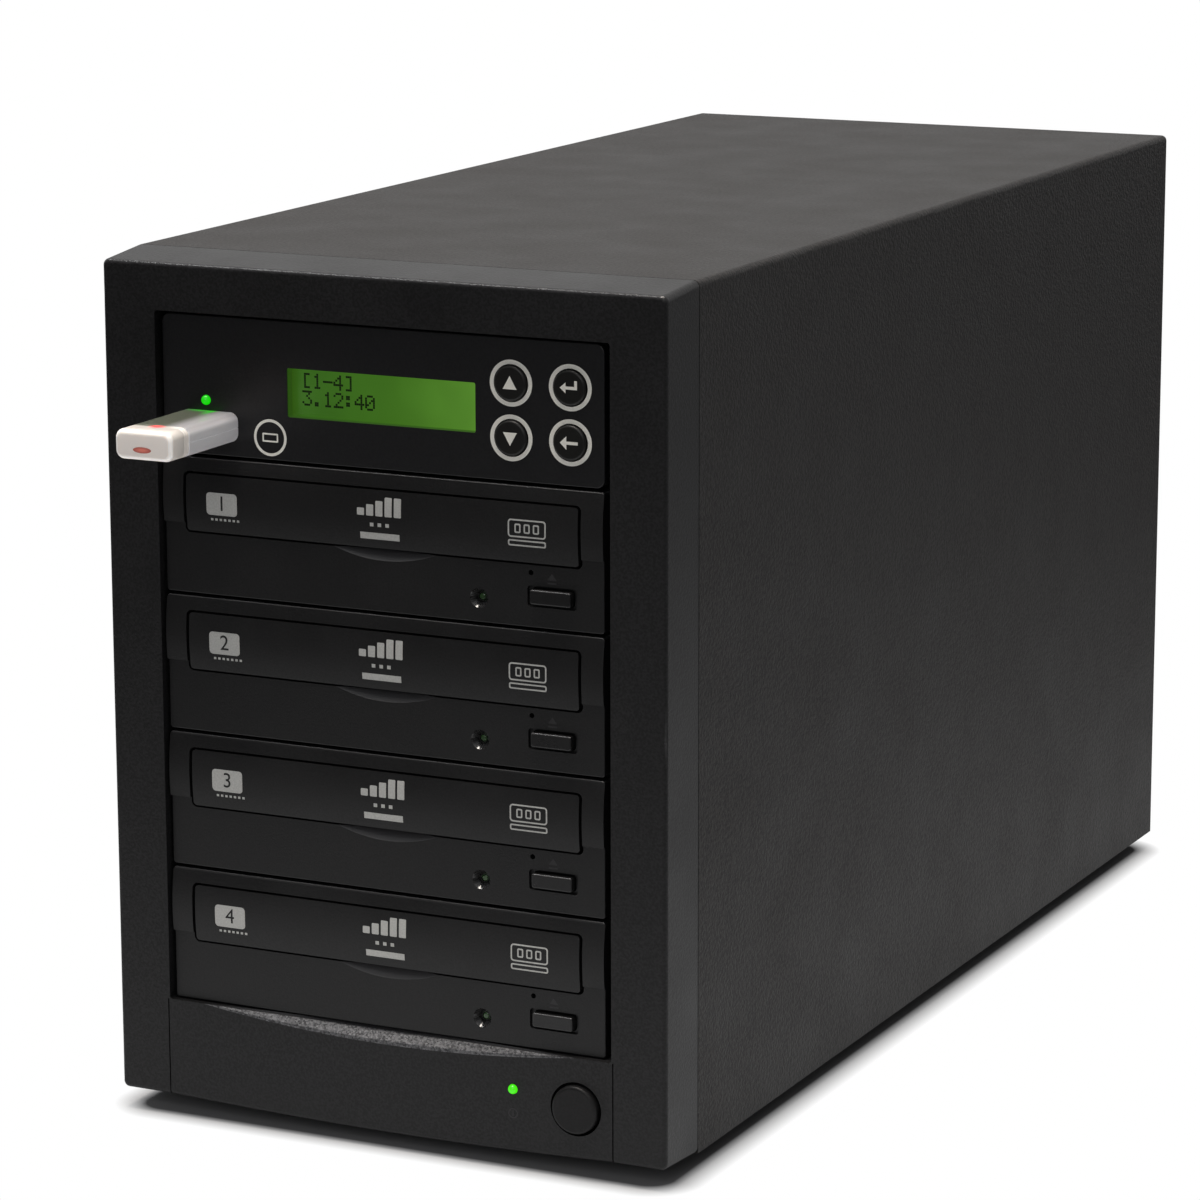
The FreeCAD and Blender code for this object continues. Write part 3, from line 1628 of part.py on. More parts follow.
export(
    "fan_guards",
    [fan_guard(0, case_fan_z, back_y - sheet), fan_guard(supply_fan_x, supply_z, inner_back_y)],
)
export("supply_case", [supply_case()])
export("power_inlet", power_inlet())
export("power_rocker", [power_rocker()])
export("data_cables", [data_cable(n) for n, z0 in drives])
export("power_leads", [power_lead(n) for n, z0 in drives])
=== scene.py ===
import math

import bmesh
import bpy
from mathutils import Matrix, Vector


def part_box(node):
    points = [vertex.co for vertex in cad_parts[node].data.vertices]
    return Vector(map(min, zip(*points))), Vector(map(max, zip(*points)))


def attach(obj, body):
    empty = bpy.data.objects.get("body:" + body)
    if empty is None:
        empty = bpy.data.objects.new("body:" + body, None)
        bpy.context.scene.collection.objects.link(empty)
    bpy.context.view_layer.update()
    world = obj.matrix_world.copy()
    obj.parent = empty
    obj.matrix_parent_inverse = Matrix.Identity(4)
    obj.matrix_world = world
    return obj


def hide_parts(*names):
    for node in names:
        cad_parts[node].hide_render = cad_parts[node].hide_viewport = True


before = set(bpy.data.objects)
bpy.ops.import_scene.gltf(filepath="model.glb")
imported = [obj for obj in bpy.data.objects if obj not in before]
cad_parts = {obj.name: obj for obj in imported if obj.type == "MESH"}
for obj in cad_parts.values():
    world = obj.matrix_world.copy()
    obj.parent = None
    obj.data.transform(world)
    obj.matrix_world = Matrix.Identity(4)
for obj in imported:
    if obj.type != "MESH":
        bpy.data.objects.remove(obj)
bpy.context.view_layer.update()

# Camera
# A long lens that stands to the right of the tower and a little above its top, as in the
# photograph. The picture is square, and the whole tower fills it.
mm = 0.001
camera_place = Vector((637.97, -1383.79, 457.44)) * mm
camera_yaw = math.radians(25.85)
camera_pitch = math.radians(-12.16)
camera_roll = math.radians(-0.15)
ahead = Vector((
    -math.sin(camera_yaw) * math.cos(camera_pitch),
    math.cos(camera_yaw) * math.cos(camera_pitch),
    math.sin(camera_pitch),
))
sideways = ahead.cross(Vector((0, 0, 1))).normalized()
upwards = sideways.cross(ahead)
camera_right = sideways * math.cos(camera_roll) + upwards * math.sin(camera_roll)
camera_up = upwards * math.cos(camera_roll) - sideways * math.sin(camera_roll)
camera_data = bpy.data.cameras.new("camera")
camera_data.sensor_width = 36
camera_data.lens = 137.18
camera = bpy.data.objects.new("camera", camera_data)
camera.matrix_world = Matrix.Translation(camera_place) @ Matrix((
    (camera_right.x, camera_up.x, -ahead.x),
    (camera_right.y, camera_up.y, -ahead.y),
    (camera_right.z, camera_up.z, -ahead.z),
)).to_4x4()
bpy.context.scene.collection.objects.link(camera)
bpy.context.scene.camera = camera


# Painted case
# The bent cover, the base pan and the rear panel are mild steel sheet with a charcoal powder
# coat, baked on before the case is screwed together.
def linear(hex_colour):
    """Linear red, green, blue and alpha of a colour written as sRGB hex."""
    shares = [int(hex_colour[i:i + 2], 16) / 255 for i in (1, 3, 5)]
    return [s / 12.92 if s <= 0.04045 else ((s + 0.055) / 1.055) ** 2.4 for s in shares] + [1]


def add_node(tree, kind, inputs, **settings):
    """Add a node with its settings. An input gets a value, a hex colour, or a link from a socket."""
    node = tree.nodes.new(kind)
    for name, value in settings.items():
        setattr(node, name, value)
    for key, value in inputs.items():
        if isinstance(value, bpy.types.NodeSocket):
            tree.links.new(value, node.inputs[key])
        elif isinstance(value, str):
            node.inputs[key].default_value = linear(value)
        else:
            node.inputs[key].default_value = value
    return node


def new_material(name):
    """An empty material: its node tree, and the object coordinates that its patterns use."""
    made = bpy.data.materials.new(name)
    made.use_nodes = True
    made.node_tree.nodes.clear()
    place = add_node(made.node_tree, "ShaderNodeTexCoord", {}).outputs["Object"]
    return made, made.node_tree, place


def grained(name, dark, light, grain, depth, roughness, specular, cloud=0.03, metallic=0.0, edges=None):
    """A fine even grain between two near colours. Edges that face up and forward may have their own
    roughness and colour; a lighter edge colour is a painted highlight.
    """
    made, tree, place = new_material(name)
    fine = add_node(tree, "ShaderNodeTexNoise", {"Vector": place, "Scale": 1 / grain}).outputs[0]
    clouds = add_node(
        tree, "ShaderNodeTexNoise", {"Vector": place, "Scale": 1 / cloud, "Detail": 4.0},
    ).outputs[0]
    speck = add_node(
        tree, "ShaderNodeMapRange", {"Value": fine, "From Min": 0.38, "From Max": 0.62},
    ).outputs[0]
    evenness = add_node(
        tree, "ShaderNodeMapRange",
        {"Value": clouds, "From Min": 0.3, "From Max": 0.7, "To Min": 0.4, "To Max": 0.6},
    ).outputs["Result"]
    share = add_node(tree, "ShaderNodeMath", {0: speck, 1: evenness}, operation="MULTIPLY").outputs[0]
    colour = add_node(tree, "ShaderNodeMix", {0: share, 6: dark, 7: light}, data_type="RGBA").outputs[2]
    bump = add_node(tree, "ShaderNodeBump", {"Strength": 1.0, "Distance": depth, "Height": fine})
    rough = add_node(
        tree, "ShaderNodeMapRange",
        {
            "Value": clouds, "From Min": 0.3, "From Max": 0.7, "To Min": roughness - 0.04,
            "To Max": roughness + 0.04,
        },
    ).outputs["Result"]
    if edges:
        facing = add_node(tree, "ShaderNodeNewGeometry", {}).outputs["Normal"]
        split = add_node(tree, "ShaderNodeSeparateXYZ", {"Vector": facing})
        slant = add_node(
            tree, "ShaderNodeMath", {0: split.outputs["Y"], 1: split.outputs["Z"]}, operation="MULTIPLY",
        ).outputs[0]
        on_edge = add_node(
            tree, "ShaderNodeMapRange", {"Value": slant, "From Min": -0.2, "From Max": -0.35},
        ).outputs[0]
        # Edges that face up and forward take the edge colour; where it is lighter, it is a painted
        # highlight.
        colour = add_node(
            tree, "ShaderNodeMix", {0: on_edge, 6: colour, 7: edges[1]}, data_type="RGBA",
        ).outputs[2]
        rough = add_node(
            tree, "ShaderNodeMapRange", {"Value": on_edge, "To Min": rough, "To Max": edges[0]},
        ).outputs["Result"]
    shader = add_node(
        tree, "ShaderNodeBsdfPrincipled",
        {
            "Base Color": colour, "Roughness": rough, "Metallic": metallic,
            "Normal": bump.outputs["Normal"],
        },
    )
    shader.inputs["Specular IOR Level"].default_value = specular
    add_node(tree, "ShaderNodeOutputMaterial", {"Surface": shader.outputs[0]})
    return made


def finish_nodes(finish, *names):
    """Give CAD nodes a material."""
    for name in names:
        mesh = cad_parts[name].data
        mesh.materials.clear()
        mesh.materials.append(finish)


# A powder coat has a fine orange peel of about 1 mm and no gloss.
powder_coat = grained(
    "charcoal_powder_coat", "#121111", "#343130", grain=1.0 * mm, depth=0.4 * mm, roughness=0.6,
    specular=0.2,
)
finish_nodes(powder_coat, "case_cover", "base_pan", "rear_panel")


# Bare steel sheet
# The drive cage, the power supply's box and the drives' own cases are folded from zinc coated
# sheet, whose coat froze in flat crystals a few millimetres wide.
def zinc_coated():
    """Each crystal reflects a little differently, so the bare sheet looks softly mottled."""
    made, tree, place = new_material("zinc_coated_steel")
    cell_size = 7 * mm
    cells = add_node(tree, "ShaderNodeTexVoronoi", {"Vector": place, "Scale": 1 / cell_size})
    tone = add_node(tree, "ShaderNodeSeparateColor", {"Color": cells.outputs["Color"]}).outputs[0]
    scratches = add_node(
        tree, "ShaderNodeTexNoise", {"Vector": place, "Scale": 1 / (0.9 * mm), "Detail": 3.0},
    ).outputs[0]
    colour = add_node(
        tree, "ShaderNodeMix", {0: tone, 6: "#A9ABAD", 7: "#BDBFC0"}, data_type="RGBA",
    ).outputs[2]
    rough = add_node(
        tree, "ShaderNodeMapRange", {"Value": tone, "To Min": 0.32, "To Max": 0.44},
    ).outputs["Result"]
    bump = add_node(
        tree, "ShaderNodeBump", {"Strength": 0.4, "Distance": 0.02 * mm, "Height": scratches},
    )
    shader = add_node(
        tree, "ShaderNodeBsdfPrincipled",
        {"Base Color": colour, "Metallic": 1.0, "Roughness": rough, "Normal": bump.outputs["Normal"]},
    )
    add_node(tree, "ShaderNodeOutputMaterial", {"Surface": shader.outputs[0]})
    return made


finish_nodes(zinc_coated(), "drive_cage", "supply_case", "drive_cases", "drive_lids")

# Feet
# Four turned-edge rubber feet are pressed into holes in the base pan. Moulded rubber is dull
# and a little dusty.
moulded_rubber = grained(
    "moulded_rubber", "#141414", "#202020", grain=0.6 * mm, depth=0.03 * mm, roughness=0.8, specular=0.2,
)
finish_nodes(moulded_rubber, "feet")

# Screws
# Pan head screws hold the drives, the cover and the fans. They are steel with a bright nickel
# plate, and the driver leaves faint marks in their slots.
# The plate is bright and a little warm, and fine marks soften what it mirrors.
nickel_plate = grained(
    "nickel_plated_steel", "#A8A6A2", "#C4C3C0", grain=0.5 * mm, depth=0.01 * mm, roughness=0.3,
    specular=0.5, cloud=4 * mm, metallic=1.0,
)
finish_nodes(nickel_plate, "case_screws", "drive_screws")

# Fans
# Two 80 mm fans blow out of the back. Frames and rotors are black glass filled nylon, and
# each has a guard of welded spring wire with a bright chrome plate.
# Glass fibres near the skin make the black dull and a little uneven.
fan_nylon = grained(
    "glass_filled_nylon", "#151516", "#1F1F20", grain=0.7 * mm, depth=0.02 * mm, roughness=0.5,
    specular=0.35,
)
finish_nodes(fan_nylon, "fan_frames", "case_fan_rotor", "supply_fan_rotor")
# Chrome mirrors its surroundings sharply along each wire.
chrome_plate = grained(
    "chrome_plated_wire", "#C9CACB", "#D8D9DA", grain=1.5 * mm, depth=0.005 * mm, roughness=0.14,
    specular=0.5, cloud=10 * mm, metallic=1.0,
)
finish_nodes(chrome_plate, "fan_guards")


# Mains inlet and rocker switch
# One black moulding holds the inlet's three pins and the rocker. It is glass filled plastic
# with a smooth skin, and the pins are nickel plated brass.
def speckled(tree, place, grain, dark, light, strength, depth):
    """The colour of a fine grain between two near colours, and the normal of its relief."""
    fine = add_node(tree, "ShaderNodeTexNoise", {"Vector": place, "Scale": 1 / grain}).outputs[0]
    speck = add_node(
        tree, "ShaderNodeMapRange", {"Value": fine, "From Min": 0.3, "From Max": 0.7},
    ).outputs[0]
    colour = add_node(tree, "ShaderNodeMix", {0: speck, 6: dark, 7: light}, data_type="RGBA").outputs[2]
    bump = add_node(tree, "ShaderNodeBump", {"Strength": strength, "Distance": depth, "Height": fine})
    return colour, bump.outputs["Normal"]


def inlet_finish():
    """Smooth black plastic with a soft sheen. The pins in the socket are a warm bright metal."""
    made, tree, place = new_material("smooth_black_plastic_with_plated_pins")
    low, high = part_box("power_inlet")
    split = add_node(tree, "ShaderNodeSeparateXYZ", {"Vector": place})
    middle_x = (low.x + high.x) / 2
    pin_half_width = 1.05 * mm
    pin_pitch = 7 * mm
    colour, relief = speckled(tree, place, 0.7 * mm, "#121213", "#1B1B1C", 0.5, 0.01 * mm)
    plastic = add_node(
        tree, "ShaderNodeBsdfPrincipled", {"Base Color": colour, "Roughness": 0.32, "Normal": relief},
    )
    plastic.inputs["Specular IOR Level"].default_value = 0.4
    metal = add_node(
        tree, "ShaderNodeBsdfPrincipled",
        {"Base Color": "#C8C2B2", "Metallic": 1.0, "Roughness": 0.25},
    )
    # Three strips across the socket, one on each pin, are metal; the rest is plastic.
    from_pin = add_node(
        tree, "ShaderNodeMath", {0: split.outputs["X"], 1: middle_x}, operation="SUBTRACT",
    ).outputs[0]
    folded = add_node(
        tree, "ShaderNodeMath", {0: from_pin, 1: pin_pitch}, operation="PINGPONG",
    ).outputs[0]
    near_middle = add_node(
        tree, "ShaderNodeMath", {0: folded, 1: pin_half_width}, operation="LESS_THAN",
    ).outputs[0]
    near_side = add_node(
        tree, "ShaderNodeMath", {0: folded, 1: pin_pitch - pin_half_width}, operation="GREATER_THAN",
    ).outputs[0]
    share = add_node(
        tree, "ShaderNodeMath", {0: near_middle, 1: near_side}, operation="MAXIMUM",
    ).outputs[0]
    socket_limits = (("Y", high.y - 2.4 * mm), ("Z", (low.z + high.z) / 2 - 9 * mm))
    for axis, limit in socket_limits:
        below = add_node(
            tree, "ShaderNodeMath", {0: split.outputs[axis], 1: limit}, operation="LESS_THAN",
        ).outputs[0]
        share = add_node(tree, "ShaderNodeMath", {0: share, 1: below}, operation="MULTIPLY").outputs[0]
    mixed = add_node(tree, "ShaderNodeMixShader", {0: share, 1: plastic.outputs[0], 2: metal.outputs[0]})
    add_node(tree, "ShaderNodeOutputMaterial", {"Surface": mixed.outputs[0]})
    return made


finish_nodes(inlet_finish(), "power_inlet")
# The rocker's smooth skin gives it a soft highlight.
rocker_plastic = grained(
    "smooth_black_plastic", "#131314", "#1C1C1D", grain=0.7 * mm, depth=0.006 * mm, roughness=0.32,
    specular=0.4,
)
finish_nodes(rocker_plastic, "power_rocker")

# Cables
# Inside the case run four data cables with a red jacket and four bundles of power leads in
# black sleeves. Both jackets are soft extruded plastic.
# The jacket is a deep red with a broad waxy highlight.
red_jacket = grained(
    "red_soft_jacket", "#8E1E17", "#A5281F", grain=1.2 * mm, depth=0.02 * mm, roughness=0.45,
    specular=0.4,
)
finish_nodes(red_jacket, "data_cables")
# The sleeve's weave breaks the light up into fine specks.
black_sleeve = grained(
    "black_woven_sleeve", "#101011", "#26262A", grain=0.8 * mm, depth=0.12 * mm, roughness=0.6,
    specular=0.3, cloud=2 * mm,
)
finish_nodes(black_sleeve, "power_leads")

# Drive decks, guide rods, spindles and sleds
# Each drive's deck and tray are black glass filled moulding. The lens sled is die cast zinc on
# two ground steel rods, and the spindle is turned aluminium.
# The glass fill makes this moulding a dull grey black.
deck_plastic = grained(
    "black_filled_plastic", "#171717", "#212121", grain=0.7 * mm, depth=0.03 * mm, roughness=0.5,
    specular=0.3,
)
finish_nodes(deck_plastic, "drive_decks")
# Ground rods are almost mirrors, with one bright line along each.
ground_steel = grained(
    "ground_steel", "#C2C3C4", "#D2D3D4", grain=0.4 * mm, depth=0.003 * mm, roughness=0.12, specular=0.5,
    cloud=6 * mm, metallic=1.0,
)
finish_nodes(ground_steel, "drive_guide_rods")
# Cast zinc is a mid grey with hardly a highlight.
die_cast = grained(
    "die_cast_zinc", "#8C8D8F", "#A3A4A6", grain=0.8 * mm, depth=0.02 * mm, roughness=0.42, specular=0.5,
    cloud=8 * mm, metallic=1.0,
)
# Turned aluminium is light and has a soft sheen.
turned_aluminium = grained(
    "turned_aluminium", "#B6B7B9", "#C9CACB", grain=0.5 * mm, depth=0.006 * mm, roughness=0.26,
    specular=0.5, cloud=5 * mm, metallic=1.0,
)
for n in range(1, 5):
    finish_nodes(die_cast, f"drive_{n}_laser_sled")
    finish_nodes(turned_aluminium, f"drive_{n}_spindle")
    finish_nodes(deck_plastic, f"drive_{n}_tray")

# Drive bezels, tray fronts and eject buttons
# The drives' faces are injection moulded black ABS. Their tools were spark eroded, which
# leaves a fine matte grain of about 0.5 mm with a faint sheen.
# Edges and sloped faces that face up and forward are smoother and coloured a lighter grey, a painted
# highlight that shows as thin grey lines.
drive_abs = grained(
    "black_abs_fine_grain", "#131314", "#1E1E1F", grain=0.6 * mm, depth=0.05 * mm, roughness=0.42,
    specular=0.3, edges=(0.3, "#3C3C3E"),
)
# The buttons are smoother than the face round them, so that their edges shine more; their edges that
# face up and forward are also coloured a lighter grey, a painted highlight.
button_abs = grained(
    "black_abs_smooth", "#161617", "#1F1F20", grain=0.6 * mm, depth=0.008 * mm, roughness=0.3,
    specular=0.35, edges=(0.16, "#48484A"),
)
for n in range(1, 5):
    finish_nodes(drive_abs, f"drive_{n}_bezel", f"drive_{n}_tray_front")
    finish_nodes(button_abs, f"drive_{n}_eject_button")


# Printed marks on the tray fronts
# Light grey ink is pad printed on each tray front: a block with the drive's number, a row of
# bars, and a framed box. The ink follows the low swell across the tray front.
def circle_loop(x, z, radius, steps=48):
    """Points round a circle."""
    turns = [2 * math.pi * n / steps for n in range(steps)]
    return [(x + radius * math.cos(t), z + radius * math.sin(t)) for t in turns]


def box_loop(x0, x1, z0, z1, corner=0.0, steps=5):
    """Points round a rectangle whose corners are rounded by a radius."""
    if corner == 0:
        return [(x0, z0), (x1, z0), (x1, z1), (x0, z1)]
    points = []
    middles = (
        (x1 - corner, z1 - corner), (x0 + corner, z1 - corner), (x0 + corner, z0 + corner),
        (x1 - corner, z0 + corner),
    )
    for quarter, (x, z) in enumerate(middles):
        for n in range(steps + 1):
            turn = math.pi / 2 * (quarter + n / steps)
            points.append((x + corner * math.cos(turn), z + corner * math.sin(turn)))
    return points


def flat_shape(loops):
    """A flat mesh in X and Z that fills closed loops; a loop inside another is a hole."""
    curve = bpy.data.curves.new("outline", "CURVE")
    curve.dimensions = "2D"
    curve.fill_mode = "BOTH"
    for loop in loops:
        spline = curve.splines.new("POLY")
        spline.points.add(len(loop) - 1)
        for spline_point, (x, z) in zip(spline.points, loop):
            spline_point.co = (x, z, 0, 1)
        spline.use_cyclic_u = True
    return as_mesh(curve)


def as_mesh(curve):
    """Turn a curve or text to a mesh and stand it up, so that it faces the front."""
    holder = bpy.data.objects.new("holder", curve)
    bpy.context.scene.collection.objects.link(holder)
    bpy.context.view_layer.update()
    mesh = bpy.data.meshes.new_from_object(holder.evaluated_get(bpy.context.evaluated_depsgraph_get()))
    bpy.data.objects.remove(holder)
    mesh.transform(Matrix.Rotation(math.pi / 2, 4, "X"))
    return mesh


def numeral(text, x, z, height):
    """The flat mesh of a short number, centred on a place."""
    letters = bpy.data.curves.new("numeral", "FONT")
    letters.body = text
    letters.size = height / 0.7
    letters.align_x = "CENTER"
    letters.align_y = "CENTER"
    mesh = as_mesh(letters)
    mesh.transform(Matrix.Translation((x, 0, z)))
    return mesh


def formed(name, form, finish):
    """An object of a finished form, in one material."""
    mesh = bpy.data.meshes.new(name)
    form.to_mesh(mesh)
    form.free()
    mesh.materials.append(finish)
    piece = bpy.data.objects.new(name, mesh)
    bpy.context.scene.collection.objects.link(piece)
    return piece


ink_thickness = 0.04 * mm


def printed(name, meshes, surface, finish, body, strip=0.8 * mm):
    """One layer of ink made of flat meshes, laid on a surface given as a depth y for x and z."""
    form = bmesh.new()
    for mesh in meshes:
        form.from_mesh(mesh)
    bmesh.ops.remove_doubles(form, verts=form.verts, dist=0.001 * mm)
    heights = [v.co.z for v in form.verts]
    strips = int((max(heights) - min(heights)) / strip)
    for n in range(1, strips):
        cut = Vector((0, 0, min(heights) + n * strip))
        everything = form.verts[:] + form.edges[:] + form.faces[:]
        bmesh.ops.bisect_plane(form, geom=everything, plane_co=cut, plane_no=(0, 0, 1))
    for vert in form.verts:
        vert.co.y = surface(vert.co.x, vert.co.z)
    for face in form.faces:
        if face.normal.y > 0:
            face.normal_flip()
    bottom = form.faces[:]
    raised = bmesh.ops.extrude_face_region(form, geom=bottom)
    tops = [v for v in raised["geom"] if isinstance(v, bmesh.types.BMVert)]
    bmesh.ops.translate(form, verts=tops, vec=(0, -ink_thickness, 0))
    bmesh.ops.recalc_face_normals(form, faces=form.faces)
    piece = formed(name, form, finish)
    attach(piece, body)


drive_lowest, drive_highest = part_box("drive_4_bezel")
swell_reach = 1.14 * mm
swell_middle = 29.2 * mm
swell_radius = 64.5 * mm
drive_face_y = drive_lowest.y + swell_reach
drive_middle_x = (drive_lowest.x + drive_highest.x) / 2
bay_pitch = 43 * mm


def drive_bottom(n):
    """The height of a drive's lower edge. The first drive is the top one."""
    return drive_lowest.z + (4 - n) * bay_pitch


def swell_surface(bottom):
    """Depth of the tray front's face, which swells forward a little."""
    def depth(x, z):
        across = z - bottom - swell_middle
        return drive_lowest.y + swell_radius - math.sqrt(swell_radius ** 2 - across ** 2)
    return depth


# The ink is a flat light grey without gloss, and the number on the block is almost black.
pad_ink = grained(
    "grey_pad_ink", "#B0B2B1", "#C6C8C6", grain=0.5 * mm, depth=0.003 * mm, roughness=0.5, specular=0.3,
)
dark_ink = grained(
    "dark_pad_ink", "#1C1C1D", "#242425", grain=0.5 * mm, depth=0.003 * mm, roughness=0.5, specular=0.3,
)
line_width = 0.45 * mm


def outlined(x0, x1, z0, z1, corners):
    """The two loops of a printed line round a rectangle, with their corner radii."""
    outer, inner = corners
    return [
        box_loop(x0, x1, z0, z1, outer),
        box_loop(x0 + line_width, x1 - line_width, z0 + line_width, z1 - line_width, inner),
    ]


# The block with the number, and the row of seven dots under it.
block_left = -58.8 * mm
block_width = 10.6 * mm
block_low = 24.9 * mm
block_high = 31.8 * mm
block_corner = 1.2 * mm
number_height = 4.6 * mm
low_dots_left = 1.4 * mm
low_dot_pitch = 1.5 * mm
low_dot_width = 0.8 * mm
low_dots_bottom = 1.7 * mm
low_dots_top = 1.0 * mm
# The row of rising bars in the middle, with three dots and a wide bar under it.
bars_left = -7.0 * mm
bar_width = 2.4 * mm
bar_pitch = 3.1 * mm
bar_corner = 0.3 * mm
bars_low = 29.2 * mm
bar_heights = [2.2 * mm, 3.4 * mm, 4.6 * mm, 5.8 * mm, 5.8 * mm]
middle_dots_left = -2.7 * mm
middle_dot_pitch = 2.6 * mm
middle_dot_width = 1.2 * mm
middle_dots_low = 26.0 * mm
middle_dots_high = 27.1 * mm
wide_bar_left = -6.1 * mm
wide_bar_width = 13.2 * mm
wide_bar_low = 22.1 * mm
wide_bar_high = 24.1 * mm
# The framed box on the right with its three cells, and the flat frame under it.
frame_left = 43.2 * mm
frame_width = 12.4 * mm
frame_low = 24.2 * mm
frame_height = 8.0 * mm
frame_lift = 2.6 * mm
frame_corners = (1.0 * mm, 0.6 * mm)
cells_left = 2.2 * mm
cell_pitch = 3.0 * mm
cell_width = 2.0 * mm
cell_inset = 1.3 * mm
cell_corners = (0.5 * mm, 0.2 * mm)
foot_height = 1.9 * mm
foot_corners = (0.6 * mm, 0.3 * mm)
for n in range(1, 5):
    z = drive_bottom(n)
    surface = swell_surface(z)
    left = drive_middle_x + block_left
    loops = [box_loop(left, left + block_width, z + block_low, z + block_high, block_corner)]
    for dot in range(7):
        x = left + low_dots_left + dot * low_dot_pitch
        dots_low = z + block_low - low_dots_bottom
        dots_high = z + block_low - low_dots_top
        loops.append(box_loop(x, x + low_dot_width, dots_low, dots_high))
    for step, height in enumerate(bar_heights):
        x = drive_middle_x + bars_left + step * bar_pitch
        loops.append(box_loop(x, x + bar_width, z + bars_low, z + bars_low + height, bar_corner))
    for dot in range(3):
        x = drive_middle_x + middle_dots_left + dot * middle_dot_pitch
        loops.append(box_loop(x, x + middle_dot_width, z + middle_dots_low, z + middle_dots_high))
    x = drive_middle_x + wide_bar_left
    loops.append(box_loop(x, x + wide_bar_width, z + wide_bar_low, z + wide_bar_high))
    x = drive_middle_x + frame_left
    foot = z + frame_low
    low = foot + frame_lift
    high = foot + frame_height
    loops += outlined(x, x + frame_width, low, high, frame_corners)
    for column in range(3):
        cell_x = x + cells_left + column * cell_pitch
        loops += outlined(cell_x, cell_x + cell_width, low + cell_inset, high - cell_inset, cell_corners)
    loops += outlined(x, x + frame_width, foot, foot + foot_height, foot_corners)
    printed(f"drive_{n}_marks", [flat_shape(loops)], surface, pad_ink, f"tray_{n}")

    def ink_top(x, z):
        return surface(x, z) - ink_thickness
    middle = z + (block_low + block_high) / 2
    number = numeral(str(n), left + block_width / 2, middle, number_height)
    printed(f"drive_{n}_number", [number], ink_top, dark_ink, f"tray_{n}")

# Drive lights and eject marks
# A light pipe of clear green plastic ends at the bottom of a polished cone in each bezel. Over
# the eject button a triangle and a bar are moulded in. They are shown here as a flat layer a little
# lighter than the plastic, a painted highlight of the moulded relief.
# Unlit, the clear plastic looks like dark green glass.
lens_plastic = grained(
    "clear_green_lens_unlit", "#2E4A2A", "#4A6B42", grain=0.5 * mm, depth=0.002 * mm, roughness=0.15,
    specular=0.5, cloud=2 * mm,
)
finish_nodes(lens_plastic, "drive_lights")
# The polished cone mirrors the room and shows as a glossy ring.
polished_abs = grained(
    "black_abs_polished", "#161616", "#1E1E1E", grain=0.8 * mm, depth=0.002 * mm, roughness=0.12,
    specular=0.5,
)
# The mark is only a little lighter than the plastic, so that it hardly shows. On the power mark this is
# ink;
# on the eject marks the lighter grey is a painted highlight of moulded relief.
faint_ink_and_relief_highlight = grained(
    "faint_grey_ink_and_relief_highlight", "#28282A", "#303032", grain=0.5 * mm, depth=0.003 * mm, roughness=0.5,
    specular=0.3,
)
cone_x = 32.95 * mm
cone_height = 7.3 * mm
cone_rim = 2.98 * mm
cone_floor = 1.32 * mm
cone_depth = 2.16 * mm
cone_wall = 0.02 * mm
cone_lip = 0.03 * mm
cone_steps = 48
eject_x = 57.0 * mm
eject_half_width = 1.5 * mm
eject_arrow_low = 14.6 * mm
eject_arrow_high = 16.6 * mm
eject_bar_low = 13.4 * mm
eject_bar_high = 13.9 * mm


def lathe(name, profile, place, steps, finish, body):
    """A shell turned about the Y axis through a place, from pairs of radius and depth."""
    form = bmesh.new()
    rings = []
    for radius, depth in profile:
        ring = []
        for n in range(steps):
            turn = 2 * math.pi * n / steps
            ring.append(form.verts.new((
                place[0] + radius * math.cos(turn), place[1] + depth, place[2] + radius * math.sin(turn),
            )))
        rings.append(ring)
    for near, far in zip(rings, rings[1:] + rings[:1]):
        for n in range(steps):
            form.faces.new((near[n], near[n - 1], far[n - 1], far[n]))
    bmesh.ops.recalc_face_normals(form, faces=form.faces)
    for face in form.faces:
        face.smooth = True
    piece = formed(name, form, finish)
    piece.data.set_sharp_from_angle(angle=math.radians(35))
    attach(piece, body)


def flat_at(y):
    """A flat surface for marks, at one depth."""
    return lambda x, z: y


for n in range(1, 5):
    z = drive_bottom(n)
    lathe(
        f"drive_{n}_light_cone",
        [
            (cone_rim, cone_wall), (cone_floor, cone_depth), (cone_floor, cone_depth + cone_wall),
            (cone_rim + cone_wall, cone_lip),
        ],
        (drive_middle_x + cone_x, drive_face_y, z + cone_height), cone_steps, polished_abs, "root",
    )
    x = drive_middle_x + eject_x
    left = x - eject_half_width
    right = x + eject_half_width
    loops = [
        [(left, z + eject_arrow_low), (right, z + eject_arrow_low), (x, z + eject_arrow_high)],
        box_loop(left, right, z + eject_bar_low, z + eject_bar_high),
    ]
    surface = flat_at(drive_face_y)
    printed(f"drive_{n}_eject_mark", [flat_shape(loops)], surface, faint_ink_and_relief_highlight, "root")

# Controller faceplate, module frame and boards
# The faceplate is black ABS with a finer grain than the bezel. Behind it are a display module
# in a bent black steel frame, and green circuit boards with dark chips.
window_low, window_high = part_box("display_window")
plate_face_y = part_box("controller_faceplate")[0].y


def share_within(tree, share, limits):
    """A share that ends at limits, each a socket with its values where the share is none and full."""
    for socket, none, full in limits:
        inside = add_node(
            tree, "ShaderNodeMapRange", {"Value": socket, "From Min": none, "From Max": full},
        ).outputs[0]
        share = add_node(tree, "ShaderNodeMath", {0: share, 1: inside}, operation="MULTIPLY").outputs[0]
    return share


